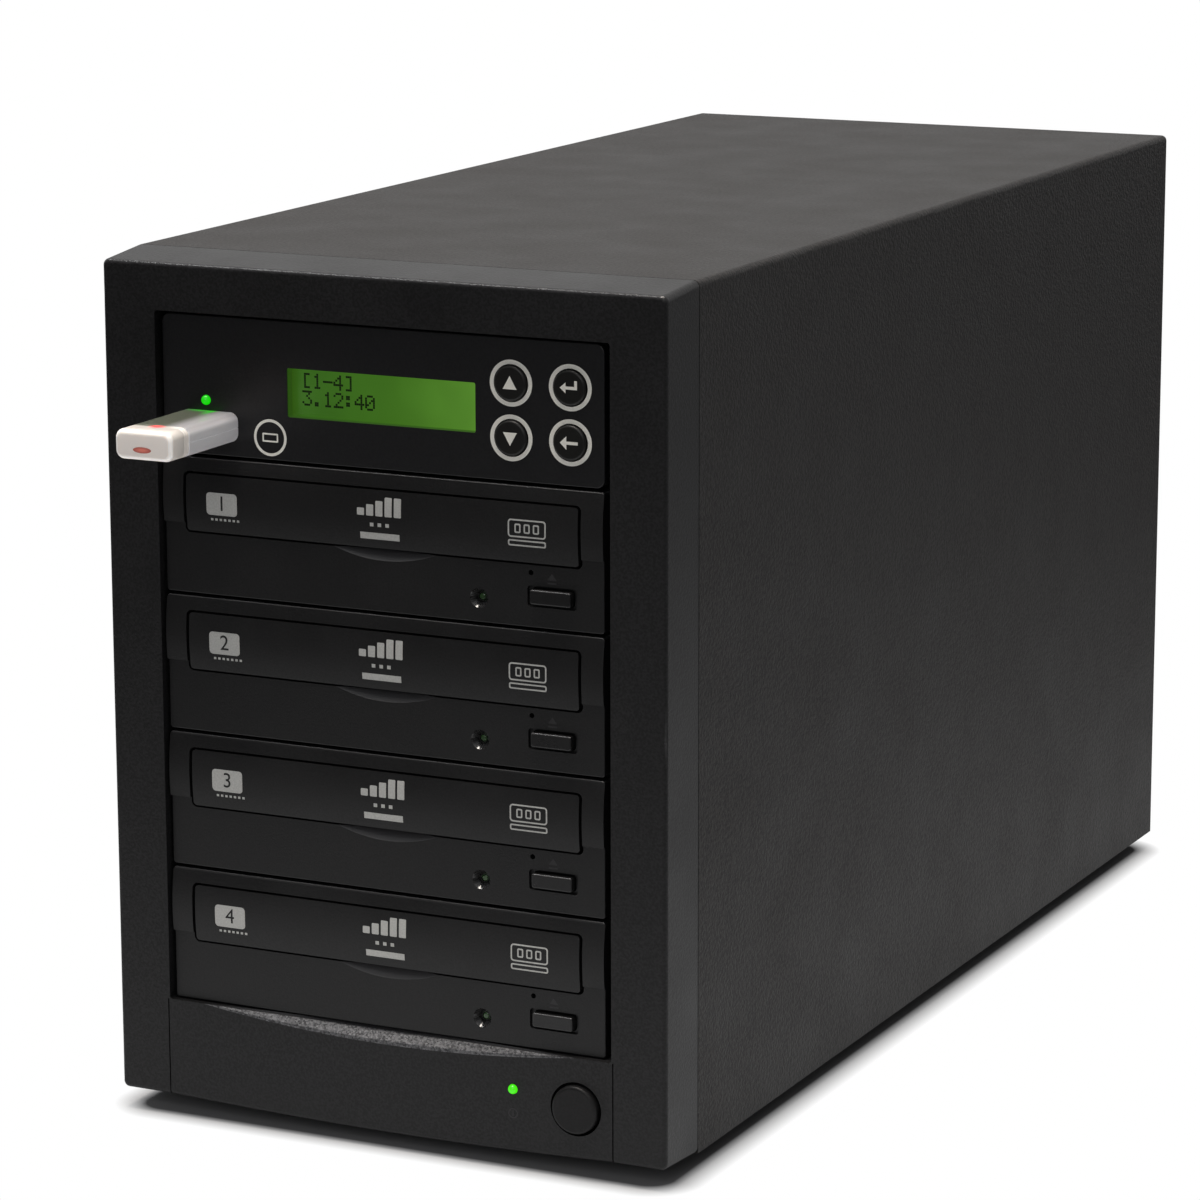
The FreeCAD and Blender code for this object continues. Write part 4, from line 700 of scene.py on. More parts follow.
def faceplate_finish():
    """Black moulding with a fine grain. The walls of the display's opening glow green, painted light
    that stands in for the display's light on them.
    """
    made, tree, place = new_material("black_abs_faceplate")
    colour, relief = speckled(tree, place, 0.6 * mm, "#0F0F11", "#19191B", 1.0, 0.03 * mm)
    split = add_node(tree, "ShaderNodeSeparateXYZ", {"Vector": place})
    margin = 0.6 * mm
    fade = 0.01 * mm
    limits = [(split.outputs["Y"], plate_face_y + 0.1 * mm, plate_face_y + 0.5 * mm)]
    for axis, low, high in (("X", window_low.x, window_high.x), ("Z", window_low.z, window_high.z)):
        limits += [
            (split.outputs[axis], low - margin - fade, low - margin),
            (split.outputs[axis], high + margin + fade, high + margin),
        ]
    # Painted light: the opening's walls glow green, as the display's light would fall on them.
    lit = share_within(tree, 1.0, limits)
    shader = add_node(
        tree, "ShaderNodeBsdfPrincipled",
        {"Base Color": colour, "Roughness": 0.38, "Normal": relief,
         "Emission Color": "#26480E", "Emission Strength": lit},
    )
    shader.inputs["Specular IOR Level"].default_value = 0.4
    add_node(tree, "ShaderNodeOutputMaterial", {"Surface": shader.outputs[0]})
    return made


finish_nodes(faceplate_finish(), "controller_faceplate")
# The frame's paint is a deep black with a soft sheen.
module_black = grained(
    "black_module_frame", "#0C0C0D", "#141415", grain=0.7 * mm, depth=0.01 * mm, roughness=0.4,
    specular=0.4,
)
finish_nodes(module_black, "display_module")


def board_finish():
    """Green solder mask over a net of fine tracks, which lift it a little."""
    made, tree, place = new_material("green_circuit_board")
    track_pitch = 2.5 * mm
    tracks = add_node(
        tree, "ShaderNodeTexBrick",
        {"Vector": place, "Scale": 1.0, "Mortar Size": 0.15 * mm, "Brick Width": 4 * track_pitch,
         "Row Height": track_pitch, "Color1": "#10512C", "Color2": "#17603A",
         "Mortar": "#2F8050"},
    )
    bump = add_node(
        tree, "ShaderNodeBump",
        {"Strength": 0.6, "Distance": 0.03 * mm, "Height": tracks.outputs["Fac"]},
    )
    shader = add_node(
        tree, "ShaderNodeBsdfPrincipled",
        {"Base Color": tracks.outputs["Color"], "Roughness": 0.35, "Normal": bump.outputs["Normal"]},
    )
    add_node(tree, "ShaderNodeOutputMaterial", {"Surface": shader.outputs[0]})
    return made


finish_nodes(board_finish(), "controller_boards")


# Display
# A backlit two-row display. Its glass glows yellow-green, darker at its left edge, a painted shade of
# the opening's wall, and brighter towards the right. Each character is a grid of five by seven dark
# dots.
def display_finish():
    """The glass gives its own green light, so that it looks lit from any side."""
    made, tree, place = new_material("backlit_display_glass")
    split = add_node(tree, "ShaderNodeSeparateXYZ", {"Vector": place})
    across = add_node(
        tree, "ShaderNodeMapRange",
        {"Value": split.outputs["X"], "From Min": window_low.x, "From Max": window_high.x},
    ).outputs[0]
    clouds = add_node(
        tree, "ShaderNodeTexNoise", {"Vector": place, "Scale": 1 / (14 * mm), "Detail": 1.0},
    ).outputs[0]
    # Painted shade: the glow is darker at the left end, by the opening's wall, and grows brighter
    # towards the right.
    ramp = add_node(tree, "ShaderNodeValToRGB", {"Fac": across})
    stops = ramp.color_ramp.elements
    stops[0].position = 0.03
    stops[0].color = linear("#2E5212")
    stops[1].position = 1.0
    stops[1].color = linear("#54862C")
    brighter = stops.new(0.08)
    brighter.color = linear("#34601A")
    middle = stops.new(0.55)
    middle.color = linear("#3B671B")
    shade = add_node(
        tree, "ShaderNodeMapRange",
        {"Value": clouds, "From Min": 0.3, "From Max": 0.7, "To Min": 0.9, "To Max": 1.05},
    ).outputs["Result"]
    glow = add_node(
        tree, "ShaderNodeMix", {0: 1.0, 6: ramp.outputs["Color"], 7: shade}, data_type="RGBA",
        blend_type="MULTIPLY",
    ).outputs[2]
    shader = add_node(
        tree, "ShaderNodeBsdfPrincipled",
        {"Base Color": "#101A0A", "Roughness": 0.25, "Emission Color": glow, "Emission Strength": 1.0},
    )
    shader.inputs["Specular IOR Level"].default_value = 0.3
    add_node(tree, "ShaderNodeOutputMaterial", {"Surface": shader.outputs[0]})
    return made


finish_nodes(display_finish(), "display_window")
glyphs = {
    "[": ("01110", "01000", "01000", "01000", "01000", "01000", "01110"),
    "]": ("01110", "00010", "00010", "00010", "00010", "00010", "01110"),
    "0": ("01110", "10001", "10011", "10101", "11001", "10001", "01110"),
    "1": ("00100", "01100", "00100", "00100", "00100", "00100", "01110"),
    "2": ("01110", "10001", "00001", "00010", "00100", "01000", "11111"),
    "3": ("11111", "00010", "00100", "00010", "00001", "10001", "01110"),
    "4": ("00010", "00110", "01010", "10010", "11111", "00010", "00010"),
    ".": ("00000", "00000", "00000", "00000", "00000", "01100", "01100"),
    ":": ("00000", "01100", "01100", "00000", "01100", "01100", "00000"),
    "-": ("00000", "00000", "00000", "11111", "00000", "00000", "00000"),
}
dot_pitch = 0.66 * mm
dot_width = 0.62 * mm
dot_depth = 0.02 * mm
character_pitch = 3.55 * mm
rows = (("[1-4]", 237.0 * mm), ("3.12:40", 231.7 * mm))
text_left = -28.6 * mm
dots = []
for text, top in rows:
    for place, character in enumerate(text):
        for down, line in enumerate(glyphs.get(character, ())):
            for along, bit in enumerate(line):
                if bit == "1":
                    x = text_left + place * character_pitch + (along + 0.5) * dot_pitch
                    dots.append((x, window_low.y - dot_depth / 2, top - (down + 0.5) * dot_pitch))


def dot_tree():
    """Node tree that puts one small plate on every point, with the plate's sizes as inputs."""
    tree = bpy.data.node_groups.new("plates_on_points", "GeometryNodeTree")
    made = {}
    made["points"] = tree.interface.new_socket(
        "Points", in_out="INPUT", socket_type="NodeSocketGeometry",
    )
    for name in ("Plate Width", "Plate Depth", "Plate Height"):
        made[name] = tree.interface.new_socket(name, in_out="INPUT", socket_type="NodeSocketFloat")
    made["finish"] = tree.interface.new_socket(
        "Finish", in_out="INPUT", socket_type="NodeSocketMaterial",
    )
    tree.interface.new_socket("Plates", in_out="OUTPUT", socket_type="NodeSocketGeometry")
    given = add_node(tree, "NodeGroupInput", {})
    size = add_node(
        tree, "ShaderNodeCombineXYZ",
        {
            "X": given.outputs["Plate Width"], "Y": given.outputs["Plate Depth"],
            "Z": given.outputs["Plate Height"],
        },
    )
    plate = add_node(tree, "GeometryNodeMeshCube", {"Size": size.outputs[0]})
    placed = add_node(
        tree, "GeometryNodeInstanceOnPoints",
        {"Points": given.outputs["Points"], "Instance": plate.outputs["Mesh"]},
    )
    real = add_node(tree, "GeometryNodeRealizeInstances", {"Geometry": placed.outputs["Instances"]})
    finished = add_node(
        tree, "GeometryNodeSetMaterial",
        {"Geometry": real.outputs["Geometry"], "Material": given.outputs["Finish"]},
    )
    add_node(tree, "NodeGroupOutput", {"Plates": finished.outputs["Geometry"]})
    return tree, made


def plates(name, points, sizes, finish, body):
    """Small plates of one size, one on each point."""
    tree, sockets = dot_tree()
    seeds = bpy.data.meshes.new(name + "_points")
    seeds.from_pydata(points, [], [])
    holder = bpy.data.objects.new(name + "_holder", seeds)
    bpy.context.scene.collection.objects.link(holder)
    maker = holder.modifiers.new("plates", "NODES")
    maker.node_group = tree
    for key, value in zip(("Plate Width", "Plate Depth", "Plate Height"), sizes):
        maker[sockets[key].identifier] = value
    maker[sockets["finish"].identifier] = finish
    bpy.context.view_layer.update()
    mesh = bpy.data.meshes.new_from_object(holder.evaluated_get(bpy.context.evaluated_depsgraph_get()))
    bpy.data.objects.remove(holder)
    piece = bpy.data.objects.new(name, mesh)
    bpy.context.scene.collection.objects.link(piece)
    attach(piece, body)


# The dots are a very dark green, as a little of the glow comes through them.
dark_dots = grained(
    "dark_display_dots", "#14260B", "#1A2F0E", grain=0.5 * mm, depth=0.001 * mm, roughness=0.4,
    specular=0.2,
)
plates(
    "display_characters", dots, (dot_width, dot_depth, dot_width), dark_dots, "root",
)

# Keys
# Four round keys of smooth black plastic stand in the faceplate, each inside a printed silver
# ring. Their marks are printed in the same ink: up, down, enter and back.
# The keys are a warm black and a little glossier than the plate round them.
key_plastic = grained(
    "black_key_plastic", "#151514", "#1D1C1B", grain=0.5 * mm, depth=0.01 * mm, roughness=0.36,
    specular=0.3,
)
# Against the black plate the silver ink looks almost white.
silver_ink = grained(
    "silver_screen_ink", "#EDEDE6", "#F6F6F0", grain=0.4 * mm, depth=0.004 * mm, roughness=0.42,
    specular=0.4,
)
ring_outer = 6.9 * mm
ring_inner = 5.62 * mm
ring_steps = 72


def key_mark(kind, x, z):
    """The loop of a key's mark about its middle, from points in millimetres."""
    half = 0.45
    if kind == "up":
        points = [(-2.25, -1.7), (2.25, -1.7), (0, 2.25)]
    elif kind == "down":
        points = [(-2.25, 1.7), (0, -2.25), (2.25, 1.7)]
    elif kind == "enter":
        points = [
            (-3.0, 0), (-1.1, 1.6), (-1.1, half), (1.7, half), (1.7, 2.2), (2.6, 2.2), (2.6, -half),
            (-1.1, -half), (-1.1, -1.6),
        ]
    else:
        points = [
            (-3.0, 0), (-0.9, 2.0), (-0.9, half), (2.8, half), (2.8, -half), (-0.9, -half),
            (-0.9, -2.0),
        ]
    return [[(x + px * mm, z + pz * mm) for px, pz in points]]


for kind in ("up", "down", "enter", "back"):
    low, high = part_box("key_" + kind)
    x = (low.x + high.x) / 2
    z = (low.z + high.z) / 2
    finish_nodes(key_plastic, "key_" + kind)
    shape = flat_shape(key_mark(kind, x, z))
    printed(f"key_{kind}_mark", [shape], flat_at(low.y), silver_ink, "key_" + kind)
    loops = [circle_loop(x, z, radius, ring_steps) for radius in (ring_outer, ring_inner)]
    surface = flat_at(plate_face_y)
    printed(f"key_{kind}_ring", [flat_shape(loops)], surface, silver_ink, "root")

# Port mark
# A smaller printed ring right of the data port, with a plain outline of a port in it. Its ink is
# that of the keys' rings.
port_mark_x = -37.95 * mm
port_mark_z = 217.1 * mm
port_ring_radii = (5.6 * mm, 4.75 * mm)
port_half_width = 2.7 * mm
port_half_height = 1.35 * mm
port_line = 0.5 * mm
loops = [circle_loop(port_mark_x, port_mark_z, radius, 64) for radius in port_ring_radii]
for inset, corner in ((0, 0.3 * mm), (port_line, 0.1 * mm)):
    half_width = port_half_width - inset
    half_height = port_half_height - inset
    loops.append(
        box_loop(
            port_mark_x - half_width, port_mark_x + half_width, port_mark_z - half_height,
            port_mark_z + half_height, corner,
        )
    )
printed("port_mark", [flat_shape(loops)], flat_at(plate_face_y), silver_ink, "root")

# Data port
# A folded shell of bright nickel plated steel stands just out of the faceplate. Round the plug
# of the memory stick only a thin rim of it is seen.
finish_nodes(nickel_plate, "usb_port")


# Memory stick
# Two clear white mouldings, a body and an end cap, meet at a fine seam. A red light inside
# shows through near the outer end, and again through a small oval window in the end.
stick_low, stick_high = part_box("usb_stick")
plug_length = 12 * mm
stick_back_y = stick_high.y - plug_length
stick_x = (stick_low.x + stick_high.x) / 2
stick_z = (stick_low.z + stick_high.z) / 2
stick_half_width = (stick_high.x - stick_low.x) / 2
stick_half_height = (stick_high.z - stick_low.z) / 2
cap_length = 10.3 * mm
stick_seam = 0.3 * mm
stick_corner = 2.6 * mm
parting_half = 0.09 * mm
parting_depth = 0.15 * mm


def round_section(inset, parting, steps=8):
    """The stick's section, a rounded rectangle drawn in by an inset, with a groove in its right side."""
    corner = stick_corner - inset / 2
    right_x = stick_x + stick_half_width - inset
    section = box_loop(
        stick_x - stick_half_width + inset, right_x, stick_z - stick_half_height + inset,
        stick_z + stick_half_height - inset, corner, steps,
    )
    groove = [(0, -2), (parting, -1), (parting, 1), (0, 2)]
    return section + [(right_x - depth, stick_z + side * parting_half) for depth, side in groove]


def stick_shell(name, profile, parting, finish):
    """A closed form through sections along Y, from pairs of inset and depth."""
    form = bmesh.new()
    rings = [
        [form.verts.new((x, y, z)) for x, z in round_section(inset, parting)]
        for inset, y in profile
    ]
    for near, far in zip(rings, rings[1:]):
        for n in range(len(near)):
            form.faces.new((near[n], near[n - 1], far[n - 1], far[n]))
    form.faces.new(rings[0])
    form.faces.new(rings[-1])
    bmesh.ops.recalc_face_normals(form, faces=form.faces)
    for face in form.faces:
        face.smooth = True
    piece = formed(name, form, finish)
    piece.data.set_sharp_from_angle(angle=math.radians(40))
    return piece


end_round = 1.7 * mm
seam_y = stick_low.y + cap_length
cap_profile = []
for n in range(7):
    turn = math.pi / 2 * n / 6
    cap_profile.append(
        (end_round * (1 - math.sin(turn)), stick_low.y + end_round * (1 - math.cos(turn))),
    )
# Two fine lines run round the cap just before the seam.
line_depth = 0.1 * mm
line_half = 0.15 * mm
for line_y in (seam_y - 2.6 * mm, seam_y - 1.4 * mm):
    cap_profile += [(0, line_y - line_half), (line_depth, line_y), (0, line_y + line_half)]
edge_inset = 0.6 * mm
edge_step = 0.15 * mm
seam_half = 0.05 * mm
cap_profile += [
    (0, seam_y - stick_seam), (edge_step, seam_y - edge_step), (edge_inset, seam_y - seam_half),
]
body_profile = [
    (edge_inset, seam_y + seam_half), (edge_step, seam_y + edge_step), (0, seam_y + stick_seam),
    (0, stick_back_y - edge_inset), (0.2 * mm, stick_back_y - edge_step), (edge_inset, stick_back_y),
]


def distance_from(tree, place, spot, reach):
    """How far a place is from a spot, measured by a reach along each axis."""
    offset = add_node(
        tree, "ShaderNodeVectorMath", {0: place, 1: spot}, operation="SUBTRACT",
    ).outputs[0]
    scaled = add_node(
        tree, "ShaderNodeVectorMath", {0: offset, 1: reach}, operation="DIVIDE",
    ).outputs[0]
    return add_node(tree, "ShaderNodeVectorMath", {0: scaled}, operation="LENGTH").outputs["Value"]


def stick_finish():
    """Clear white plastic with a dark panel in its top, lit red from inside. Its green spots, its bright
    end rim and a faint glow over the whole shell are painted light.
    """
    made, tree, place = new_material("clear_white_plastic_lit_inside")
    split = add_node(tree, "ShaderNodeSeparateXYZ", {"Vector": place})
    fine = add_node(tree, "ShaderNodeTexNoise", {"Vector": place, "Scale": 1 / (0.5 * mm)}).outputs[0]
    x, y, z = (split.outputs[axis] for axis in "XYZ")
    past_seam = add_node(
        tree, "ShaderNodeMapRange",
        {"Value": y, "From Min": seam_y - 0.1 * mm, "From Max": seam_y + 0.1 * mm},
    ).outputs[0]
    shell = add_node(
        tree, "ShaderNodeMix", {0: past_seam, 6: "#E8E2DD", 7: "#D4D3D7"}, data_type="RGBA",
    ).outputs[2]
    top_limit = (z, stick_high.z - 1.6 * mm, stick_high.z - 0.6 * mm)
    body_top = share_within(tree, past_seam, [top_limit])
    shell = add_node(
        tree, "ShaderNodeMix", {0: body_top, 6: shell, 7: "#A9A8AC"}, data_type="RGBA",
    ).outputs[2]
    left_x = stick_x - stick_half_width
    panel_limits = (
        (z, stick_high.z - 0.9 * mm, stick_high.z - 0.7 * mm),
        (x, left_x + 1.2 * mm, left_x + 1.4 * mm), (x, stick_x + 5.5 * mm, stick_x + 0.5 * mm),
        (y, stick_low.y + 7.2 * mm, stick_low.y + 8.2 * mm),
    )
    on_panel = share_within(tree, 0.95, panel_limits)
    colour = add_node(
        tree, "ShaderNodeMix", {0: on_panel, 6: shell, 7: "#565B4D"}, data_type="RGBA",
    ).outputs[2]
    # The round edge of the end shows as a bright rim: a painted highlight, near white and glowing a
    # little.
    facing = add_node(tree, "ShaderNodeNewGeometry", {}).outputs["Normal"]
    turned = add_node(tree, "ShaderNodeSeparateXYZ", {"Vector": facing}).outputs["Y"]
    rim_y = stick_low.y + end_round
    rim_limits = ((y, rim_y, rim_y - 0.3 * mm), (turned, -0.97, -0.85), (turned, -0.15, -0.5))
    rim = share_within(tree, 1.0, rim_limits)
    colour = add_node(
        tree, "ShaderNodeMix", {0: rim, 6: colour, 7: "#F2EFEC"}, data_type="RGBA",
    ).outputs[2]
    glow = add_node(tree, "ShaderNodeMath", {0: rim, 1: 0.2}, operation="MULTIPLY").outputs[0]
    # The red spot is the stick's own light inside. The two green spots near the port are painted light:
    # the glow of the panel light over the port falling on the stick.
    lights = (
        (
            (stick_x + 0.2 * mm, stick_low.y + 8.0 * mm, stick_high.z), (3.2 * mm, 2.9 * mm, 2.5 * mm),
            "#FF5656",
        ),
        ((stick_x + 1.2 * mm, stick_back_y, stick_high.z), (2.2 * mm, 9 * mm, 1.2 * mm), "#34AC2C"),
        ((stick_x - 2.5 * mm, stick_back_y, stick_high.z), (7 * mm, 4 * mm, 1 * mm), "#34AC2C"),
    )
    for spot, reach, spot_colour in lights:
        away = distance_from(tree, place, spot, reach)
        near = add_node(
            tree, "ShaderNodeMapRange", {"Value": away, "From Min": 1.0, "From Max": 0.3},
        ).outputs[0]
        colour = add_node(
            tree, "ShaderNodeMix", {0: near, 6: colour, 7: spot_colour}, data_type="RGBA",
        ).outputs[2]
        glow = add_node(tree, "ShaderNodeMath", {0: glow, 1: near}, operation="MAXIMUM").outputs[0]
    # The whole shell also glows a little: painted light that brightens the white plastic beyond what the
    # lamps give it.
    strength = add_node(
        tree, "ShaderNodeMapRange", {"Value": glow, "To Min": 0.2, "To Max": 0.8},
    ).outputs["Result"]
    bump = add_node(tree, "ShaderNodeBump", {"Strength": 0.3, "Distance": 0.002 * mm, "Height": fine})
    shader = add_node(
        tree, "ShaderNodeBsdfPrincipled",
        {
            "Base Color": colour, "Roughness": 0.3, "Normal": bump.outputs["Normal"],
            "Emission Color": colour, "Emission Strength": strength, "Subsurface Weight": 0.4,
            "Subsurface Radius": (1.0, 0.9, 0.8), "Subsurface Scale": 1.5 * mm,
        },
    )
    shader.inputs["Coat Weight"].default_value = 0.3
    shader.inputs["Coat Roughness"].default_value = 0.15
    add_node(tree, "ShaderNodeOutputMaterial", {"Surface": shader.outputs[0]})
    return made


stick_plastic = stick_finish()
stick_cap = stick_shell("stick_cap", cap_profile, 0, stick_plastic)
stick_body = stick_shell("stick_body", body_profile, parting_depth, stick_plastic)
for piece in (stick_cap, stick_body):
    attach(piece, "memory_stick")
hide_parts("usb_stick")

# The plug is a folded steel shell with two square holes in its face, round a white insulator.
plug_half_width = 6 * mm
plug_half_height = 2.25 * mm
plug_wall = 0.3 * mm
plug_front = stick_back_y - plug_wall
plug_end = stick_high.y
hole_half = 1.1 * mm
hole_x = 2.5 * mm
hole_near = (plug_front + plug_end) / 2 - hole_half
hole_far = (plug_front + plug_end) / 2 + hole_half
insulator_height = 1.9 * mm


def closed_box(form, low, high):
    """Add a box between two corners to a mesh."""
    made = bmesh.ops.create_cube(form, size=1.0)["verts"]
    for vert in made:
        vert.co = Vector([(a + b) / 2 + c * (b - a) for a, b, c in zip(low, high, vert.co)])


form = bmesh.new()
inner = plug_half_width - plug_wall
for side in (-1, 1):
    xs = sorted((stick_x + side * plug_half_width, stick_x + side * inner))
    closed_box(
        form, (xs[0], plug_front, stick_z - plug_half_height),
        (xs[1], plug_end, stick_z + plug_half_height),
    )
    zs = sorted((stick_z + side * plug_half_height, stick_z + side * (plug_half_height - plug_wall)))
    strips = (
        (-inner, inner, plug_front, hole_near), (-inner, inner, hole_far, plug_end),
        (-inner, -hole_x - hole_half, hole_near, hole_far),
        (-hole_x + hole_half, hole_x - hole_half, hole_near, hole_far),
        (hole_x + hole_half, inner, hole_near, hole_far),
    )
    for x0, x1, near, far in strips:
        closed_box(form, (stick_x + x0, near, zs[0]), (stick_x + x1, far, zs[1]))
stick_plug = formed("stick_plug", form, nickel_plate)
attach(stick_plug, "memory_stick")
form = bmesh.new()
insulator_low = stick_z - plug_half_height + plug_wall
closed_box(
    form, (stick_x - inner, plug_front, insulator_low),
    (stick_x + inner, plug_end - plug_wall, insulator_low + insulator_height),
)
stick_insulator = formed("stick_insulator", form, stick_plastic)
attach(stick_insulator, "memory_stick")


def window_finish():
    """A red light behind a frosted window, dimmer towards the window's rim."""
    made, tree, place = new_material("dull_red_window")
    away = distance_from(tree, place, window_place, (window_half_width, mm, window_half_height))
    near_rim = add_node(
        tree, "ShaderNodeMapRange", {"Value": away, "From Min": 0.3, "From Max": 0.95},
    ).outputs[0]
    colour = add_node(
        tree, "ShaderNodeMix", {0: near_rim, 6: "#B4685C", 7: "#8C4A42"}, data_type="RGBA",
    ).outputs[2]
    shader = add_node(
        tree, "ShaderNodeBsdfPrincipled",
        {"Base Color": colour, "Roughness": 0.3, "Emission Color": colour, "Emission Strength": 0.55},
    )
    add_node(tree, "ShaderNodeOutputMaterial", {"Surface": shader.outputs[0]})
    return made


window_half_width = 3.1 * mm
window_half_height = 0.9 * mm
window_place = Vector((stick_x - 0.2 * mm, stick_low.y, stick_z - 1.3 * mm))
oval = [
    (window_place.x + x * window_half_width, window_place.z + z * window_half_height)
    for x, z in circle_loop(0, 0, 1, 48)
]
surface = flat_at(stick_low.y + 0.02 * mm)
printed(
    "stick_end_window", [flat_shape([oval])], surface, window_finish(), "memory_stick",
)

# Front bezel, lower panel and power button
# All three are injection moulded black ABS with a spark eroded grain. The bezel is one frame
# with its top and sides drawn in, and the panel and button snap into it.
# The coarse grain gives a faint sparkle, and edges that face up and forward are a thin grey line.
bezel_abs = grained(
    "black_abs_spark_grain", "#0E0E0F", "#252527", grain=0.8 * mm, depth=0.12 * mm, roughness=0.5,
    specular=0.27, edges=(0.24, "#1F1F21"),
)
finish_nodes(bezel_abs, "front_bezel", "lower_panel")
# The button's finer grain looks even and almost dull.
button_cap = grained(
    "black_abs_button_cap", "#161617", "#202021", grain=0.6 * mm, depth=0.02 * mm, roughness=0.4,
    specular=0.16,
)
finish_nodes(button_cap, "power_button")


# Scoop trim
# The strip in the thumb scoop is a moulding of its own, set into the lower panel. It is painted
# a metallic silver-grey with coarse flakes.
def flake_paint():
    """Each flake catches the light on its own, which gives a coarse sparkle."""
    made, tree, place = new_material("silver_flake_paint")
    flake = 0.55 * mm
    cells = add_node(tree, "ShaderNodeTexVoronoi", {"Vector": place, "Scale": 1 / flake})
    tone = add_node(tree, "ShaderNodeSeparateColor", {"Color": cells.outputs["Color"]}).outputs[0]
    colour = add_node(
        tree, "ShaderNodeMix", {0: tone, 6: "#262628", 7: "#68686A"}, data_type="RGBA",
    ).outputs[2]
    bump = add_node(tree, "ShaderNodeBump", {"Strength": 0.4, "Distance": 0.03 * mm, "Height": tone})
    shader = add_node(
        tree, "ShaderNodeBsdfPrincipled",
        {"Base Color": colour, "Metallic": 0.6, "Roughness": 0.45, "Normal": bump.outputs["Normal"]},
    )
    add_node(tree, "ShaderNodeOutputMaterial", {"Surface": shader.outputs[0]})
    return made


finish_nodes(flake_paint(), "scoop_trim")


# Panel lights
# Green light emitting diodes, lit: one over the data port, one beside the power button. Their
# resin is a dark green, and nearly all that is seen of them is their own light.
def lit_diode():
    """A green that glows by itself, a little yellower in the lower light."""
    made, tree, place = new_material("lit_green_diode")
    between_lights = 100 * mm
    height = add_node(tree, "ShaderNodeSeparateXYZ", {"Vector": place}).outputs["Z"]
    fine = add_node(tree, "ShaderNodeTexNoise", {"Vector": place, "Scale": 1 / (1.0 * mm)}).outputs[0]
    port_green = add_node(
        tree, "ShaderNodeMix", {0: fine, 6: "#10C406", 7: "#16D80C"}, data_type="RGBA",
    ).outputs[2]
    over_port = add_node(
        tree, "ShaderNodeMapRange",
        {"Value": height, "From Min": between_lights, "From Max": between_lights + 50 * mm},
    ).outputs[0]
    colour = add_node(
        tree, "ShaderNodeMix", {0: over_port, 6: "#48E808", 7: port_green}, data_type="RGBA",
    ).outputs[2]
    shader = add_node(
        tree, "ShaderNodeBsdfPrincipled",
        {"Base Color": "#0E4A08", "Roughness": 0.25, "Emission Color": colour, "Emission Strength": 1.0},
    )
    add_node(tree, "ShaderNodeOutputMaterial", {"Surface": shader.outputs[0]})
    return made


finish_nodes(lit_diode(), "panel_lights")

# Power mark
# A small ring with a stroke is printed under the power light in faint dark grey. It lies flat on
# the lower panel's face.
mark_x = 43.25 * mm
mark_z = 17.8 * mm
mark_radii = (1.6 * mm, 1.25 * mm)
stroke_half_width = 0.17 * mm
stroke_half_height = 0.9 * mm
panel_face_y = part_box("lower_panel")[0].y
loops = [circle_loop(mark_x, mark_z, radius) for radius in mark_radii]
loops.append(
    box_loop(
        mark_x - stroke_half_width, mark_x + stroke_half_width, mark_z - stroke_half_height,
        mark_z + stroke_half_height,
    )
)
printed("power_mark", [flat_shape(loops)], flat_at(panel_face_y), faint_ink_and_relief_highlight, "root")

# Floor
# A plain pale sheet under the tower. It keeps the shadow near the base and turns to the white
# of the background away from it. Just past the base it is a darker grey, a painted shadow, and far
# out it turns dark, painted shade that keeps the far floor from throwing light back. Its near part
# throws light back up, and glossy faces mirror it.
def seen_directly(tree):
    """One for the camera's rays, and one for all rays that show or mirror what they meet."""
    path = add_node(tree, "ShaderNodeLightPath", {})
    camera_ray = path.outputs["Is Camera Ray"]
    seen = camera_ray
    for kind in ("Is Glossy Ray", "Is Transmission Ray"):
        seen = add_node(
            tree, "ShaderNodeMath", {0: seen, 1: path.outputs[kind]}, operation="MAXIMUM",
        ).outputs[0]
    return camera_ray, seen


room_share = 0.06
floor_reach = 6.0
side_inset = 10 * mm
# How far out from the base the sheet turns white, ends its painted shadow, turns to painted dark shade,
# and dims in mirrors.
white_from, white_to = 8 * mm, 18 * mm
painted_shadow_from, painted_shadow_to = 20 * mm, 30 * mm
painted_dark_from, painted_dark_to = 120 * mm, 400 * mm
dim_from, dim_to = 150 * mm, 550 * mm
base_low, base_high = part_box("base_pan")
floor_form = bmesh.new()
bmesh.ops.create_grid(floor_form, x_segments=8, y_segments=8, size=floor_reach)
floor_finish, tree, place = new_material("pale_floor")
half_base = (base_high - base_low) / 2 - Vector((side_inset, 0, 0))
beside = add_node(tree, "ShaderNodeVectorMath", {0: place}, operation="ABSOLUTE").outputs[0]
beyond = add_node(
    tree, "ShaderNodeVectorMath", {0: beside, 1: (half_base.x, half_base.y, 0)}, operation="SUBTRACT",
).outputs[0]
outside = add_node(
    tree, "ShaderNodeVectorMath", {0: beyond, 1: (0, 0, 0)}, operation="MAXIMUM",
).outputs[0]
away = add_node(tree, "ShaderNodeVectorMath", {0: outside}, operation="LENGTH").outputs["Value"]
white_share = add_node(
    tree, "ShaderNodeMapRange", {"Value": away, "From Min": white_from, "From Max": white_to},
).outputs[0]
camera_ray, seen = seen_directly(tree)
glow = add_node(tree, "ShaderNodeMath", {0: seen, 1: white_share}, operation="MULTIPLY").outputs[0]
mirrored = add_node(
    tree, "ShaderNodeMapRange",
    {"Value": away, "From Min": dim_from, "From Max": dim_to, "To Min": 1.0, "To Max": room_share},
).outputs["Result"]
whiteness = add_node(
    tree, "ShaderNodeMath", {0: mirrored, 1: camera_ray}, operation="MAXIMUM",
).outputs[0]
past_painted_shadow = add_node(
    tree, "ShaderNodeMapRange", {"Value": away, "From Min": painted_shadow_from, "From Max": painted_shadow_to},
).outputs[0]
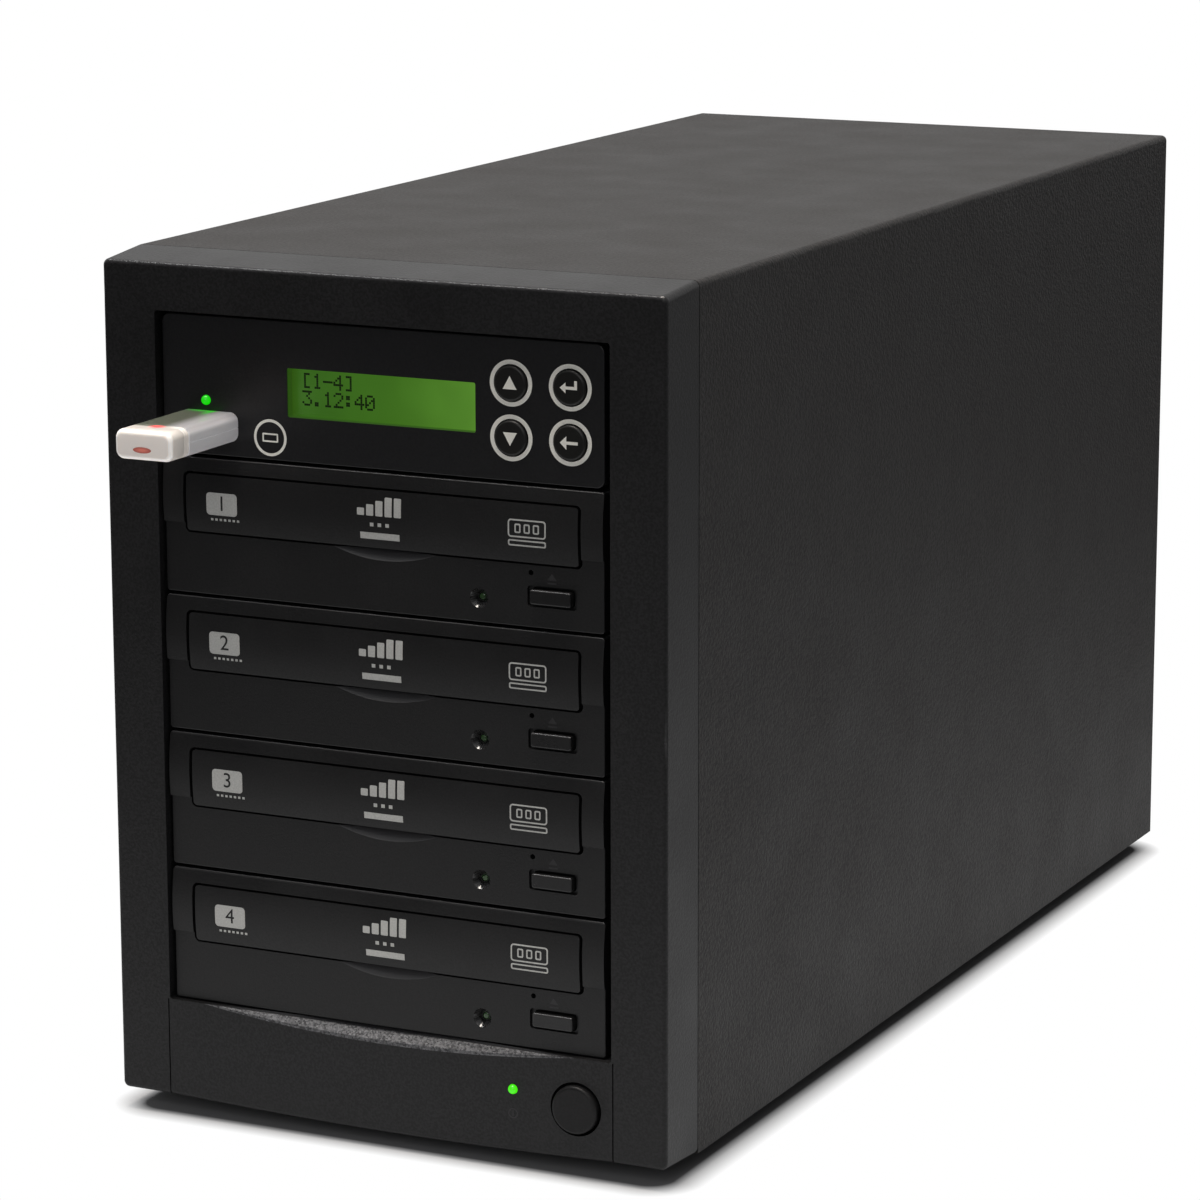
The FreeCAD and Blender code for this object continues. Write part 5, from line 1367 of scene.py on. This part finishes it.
# Painted shadow: the sheet is a darker grey close to the base.
painted_shadow_colour = add_node(
    tree, "ShaderNodeMix", {0: past_painted_shadow, 6: "#A0A0A2", 7: "#F4F4F6"}, data_type="RGBA",
).outputs[2]
# Painted shade: far out the sheet turns dark, so that it throws back little light.
painted_dark_share = add_node(
    tree, "ShaderNodeMapRange", {"Value": away, "From Min": painted_dark_from, "From Max": painted_dark_to},
).outputs[0]
sheet_colour = add_node(
    tree, "ShaderNodeMix", {0: painted_dark_share, 6: painted_shadow_colour, 7: "#303032"}, data_type="RGBA",
).outputs[2]
matte = add_node(tree, "ShaderNodeBsdfDiffuse", {"Color": sheet_colour})
white = add_node(tree, "ShaderNodeEmission", {"Color": "#FFFFFF", "Strength": whiteness})
mixed = add_node(tree, "ShaderNodeMixShader", {0: glow, 1: matte.outputs[0], 2: white.outputs[0]})
add_node(tree, "ShaderNodeOutputMaterial", {"Surface": mixed.outputs[0]})
floor = formed("floor", floor_form, floor_finish)

# Light
# White surroundings, one broad soft lamp over the tower, a weaker one in front of it, and a small
# one to the left that shows the edges. Glossy faces mirror a dim room on the side of the front.
world = bpy.data.worlds.new("surroundings")
bpy.context.scene.world = world
world.use_nodes = True
tree = world.node_tree
tree.nodes.clear()
camera_ray, seen = seen_directly(tree)
heading = add_node(tree, "ShaderNodeTexCoord", {}).outputs["Generated"]
split = add_node(tree, "ShaderNodeSeparateXYZ", {"Vector": heading})
behind = add_node(
    tree, "ShaderNodeMapRange", {"Value": split.outputs["Y"], "From Min": -0.5, "From Max": 0.2},
).outputs[0]
above = add_node(
    tree, "ShaderNodeMapRange", {"Value": split.outputs["Z"], "From Min": 0.35, "From Max": 0.8},
).outputs[0]
wall = add_node(tree, "ShaderNodeMath", {0: behind, 1: above}, operation="MAXIMUM").outputs[0]
mirrored = add_node(
    tree, "ShaderNodeMapRange", {"Value": wall, "To Min": room_share, "To Max": 1.0},
).outputs[0]
whiteness = add_node(
    tree, "ShaderNodeMath", {0: mirrored, 1: camera_ray}, operation="MAXIMUM",
).outputs[0]
strength = add_node(
    tree, "ShaderNodeMapRange", {"Value": seen, "To Min": 0.12, "To Max": whiteness},
).outputs["Result"]
background = add_node(tree, "ShaderNodeBackground", {"Color": "#FFFFFF", "Strength": strength})
add_node(tree, "ShaderNodeOutputWorld", {"Surface": background.outputs[0]})


def lamp(name, place, aim, size, power, colour):
    """A square soft lamp that faces a point."""
    data = bpy.data.lights.new(name, "AREA")
    data.color = linear(colour)[:3]
    data.size = size
    data.energy = power
    made = bpy.data.objects.new(name, data)
    turn = (Vector(aim) - Vector(place)).to_track_quat("-Z", "Y")
    made.matrix_world = Matrix.Translation(place) @ turn.to_matrix().to_4x4()
    bpy.context.scene.collection.objects.link(made)


lamp("top_lamp", (-0.08, -0.3, 1.9), (0, -0.1, 0.1), 0.6, 38, "#FFF6EC")
lamp("edge_lamp", (-0.9, -0.3, 1.9), (0, -0.2, 0.2), 0.3, 6, "#FFFFFF")
lamp("front_lamp", (0.5, -2.4, 1.2), (0, 0, 0.12), 1.2, 10, "#FFFFFF")

bpy.context.scene.view_settings.view_transform = "Standard"
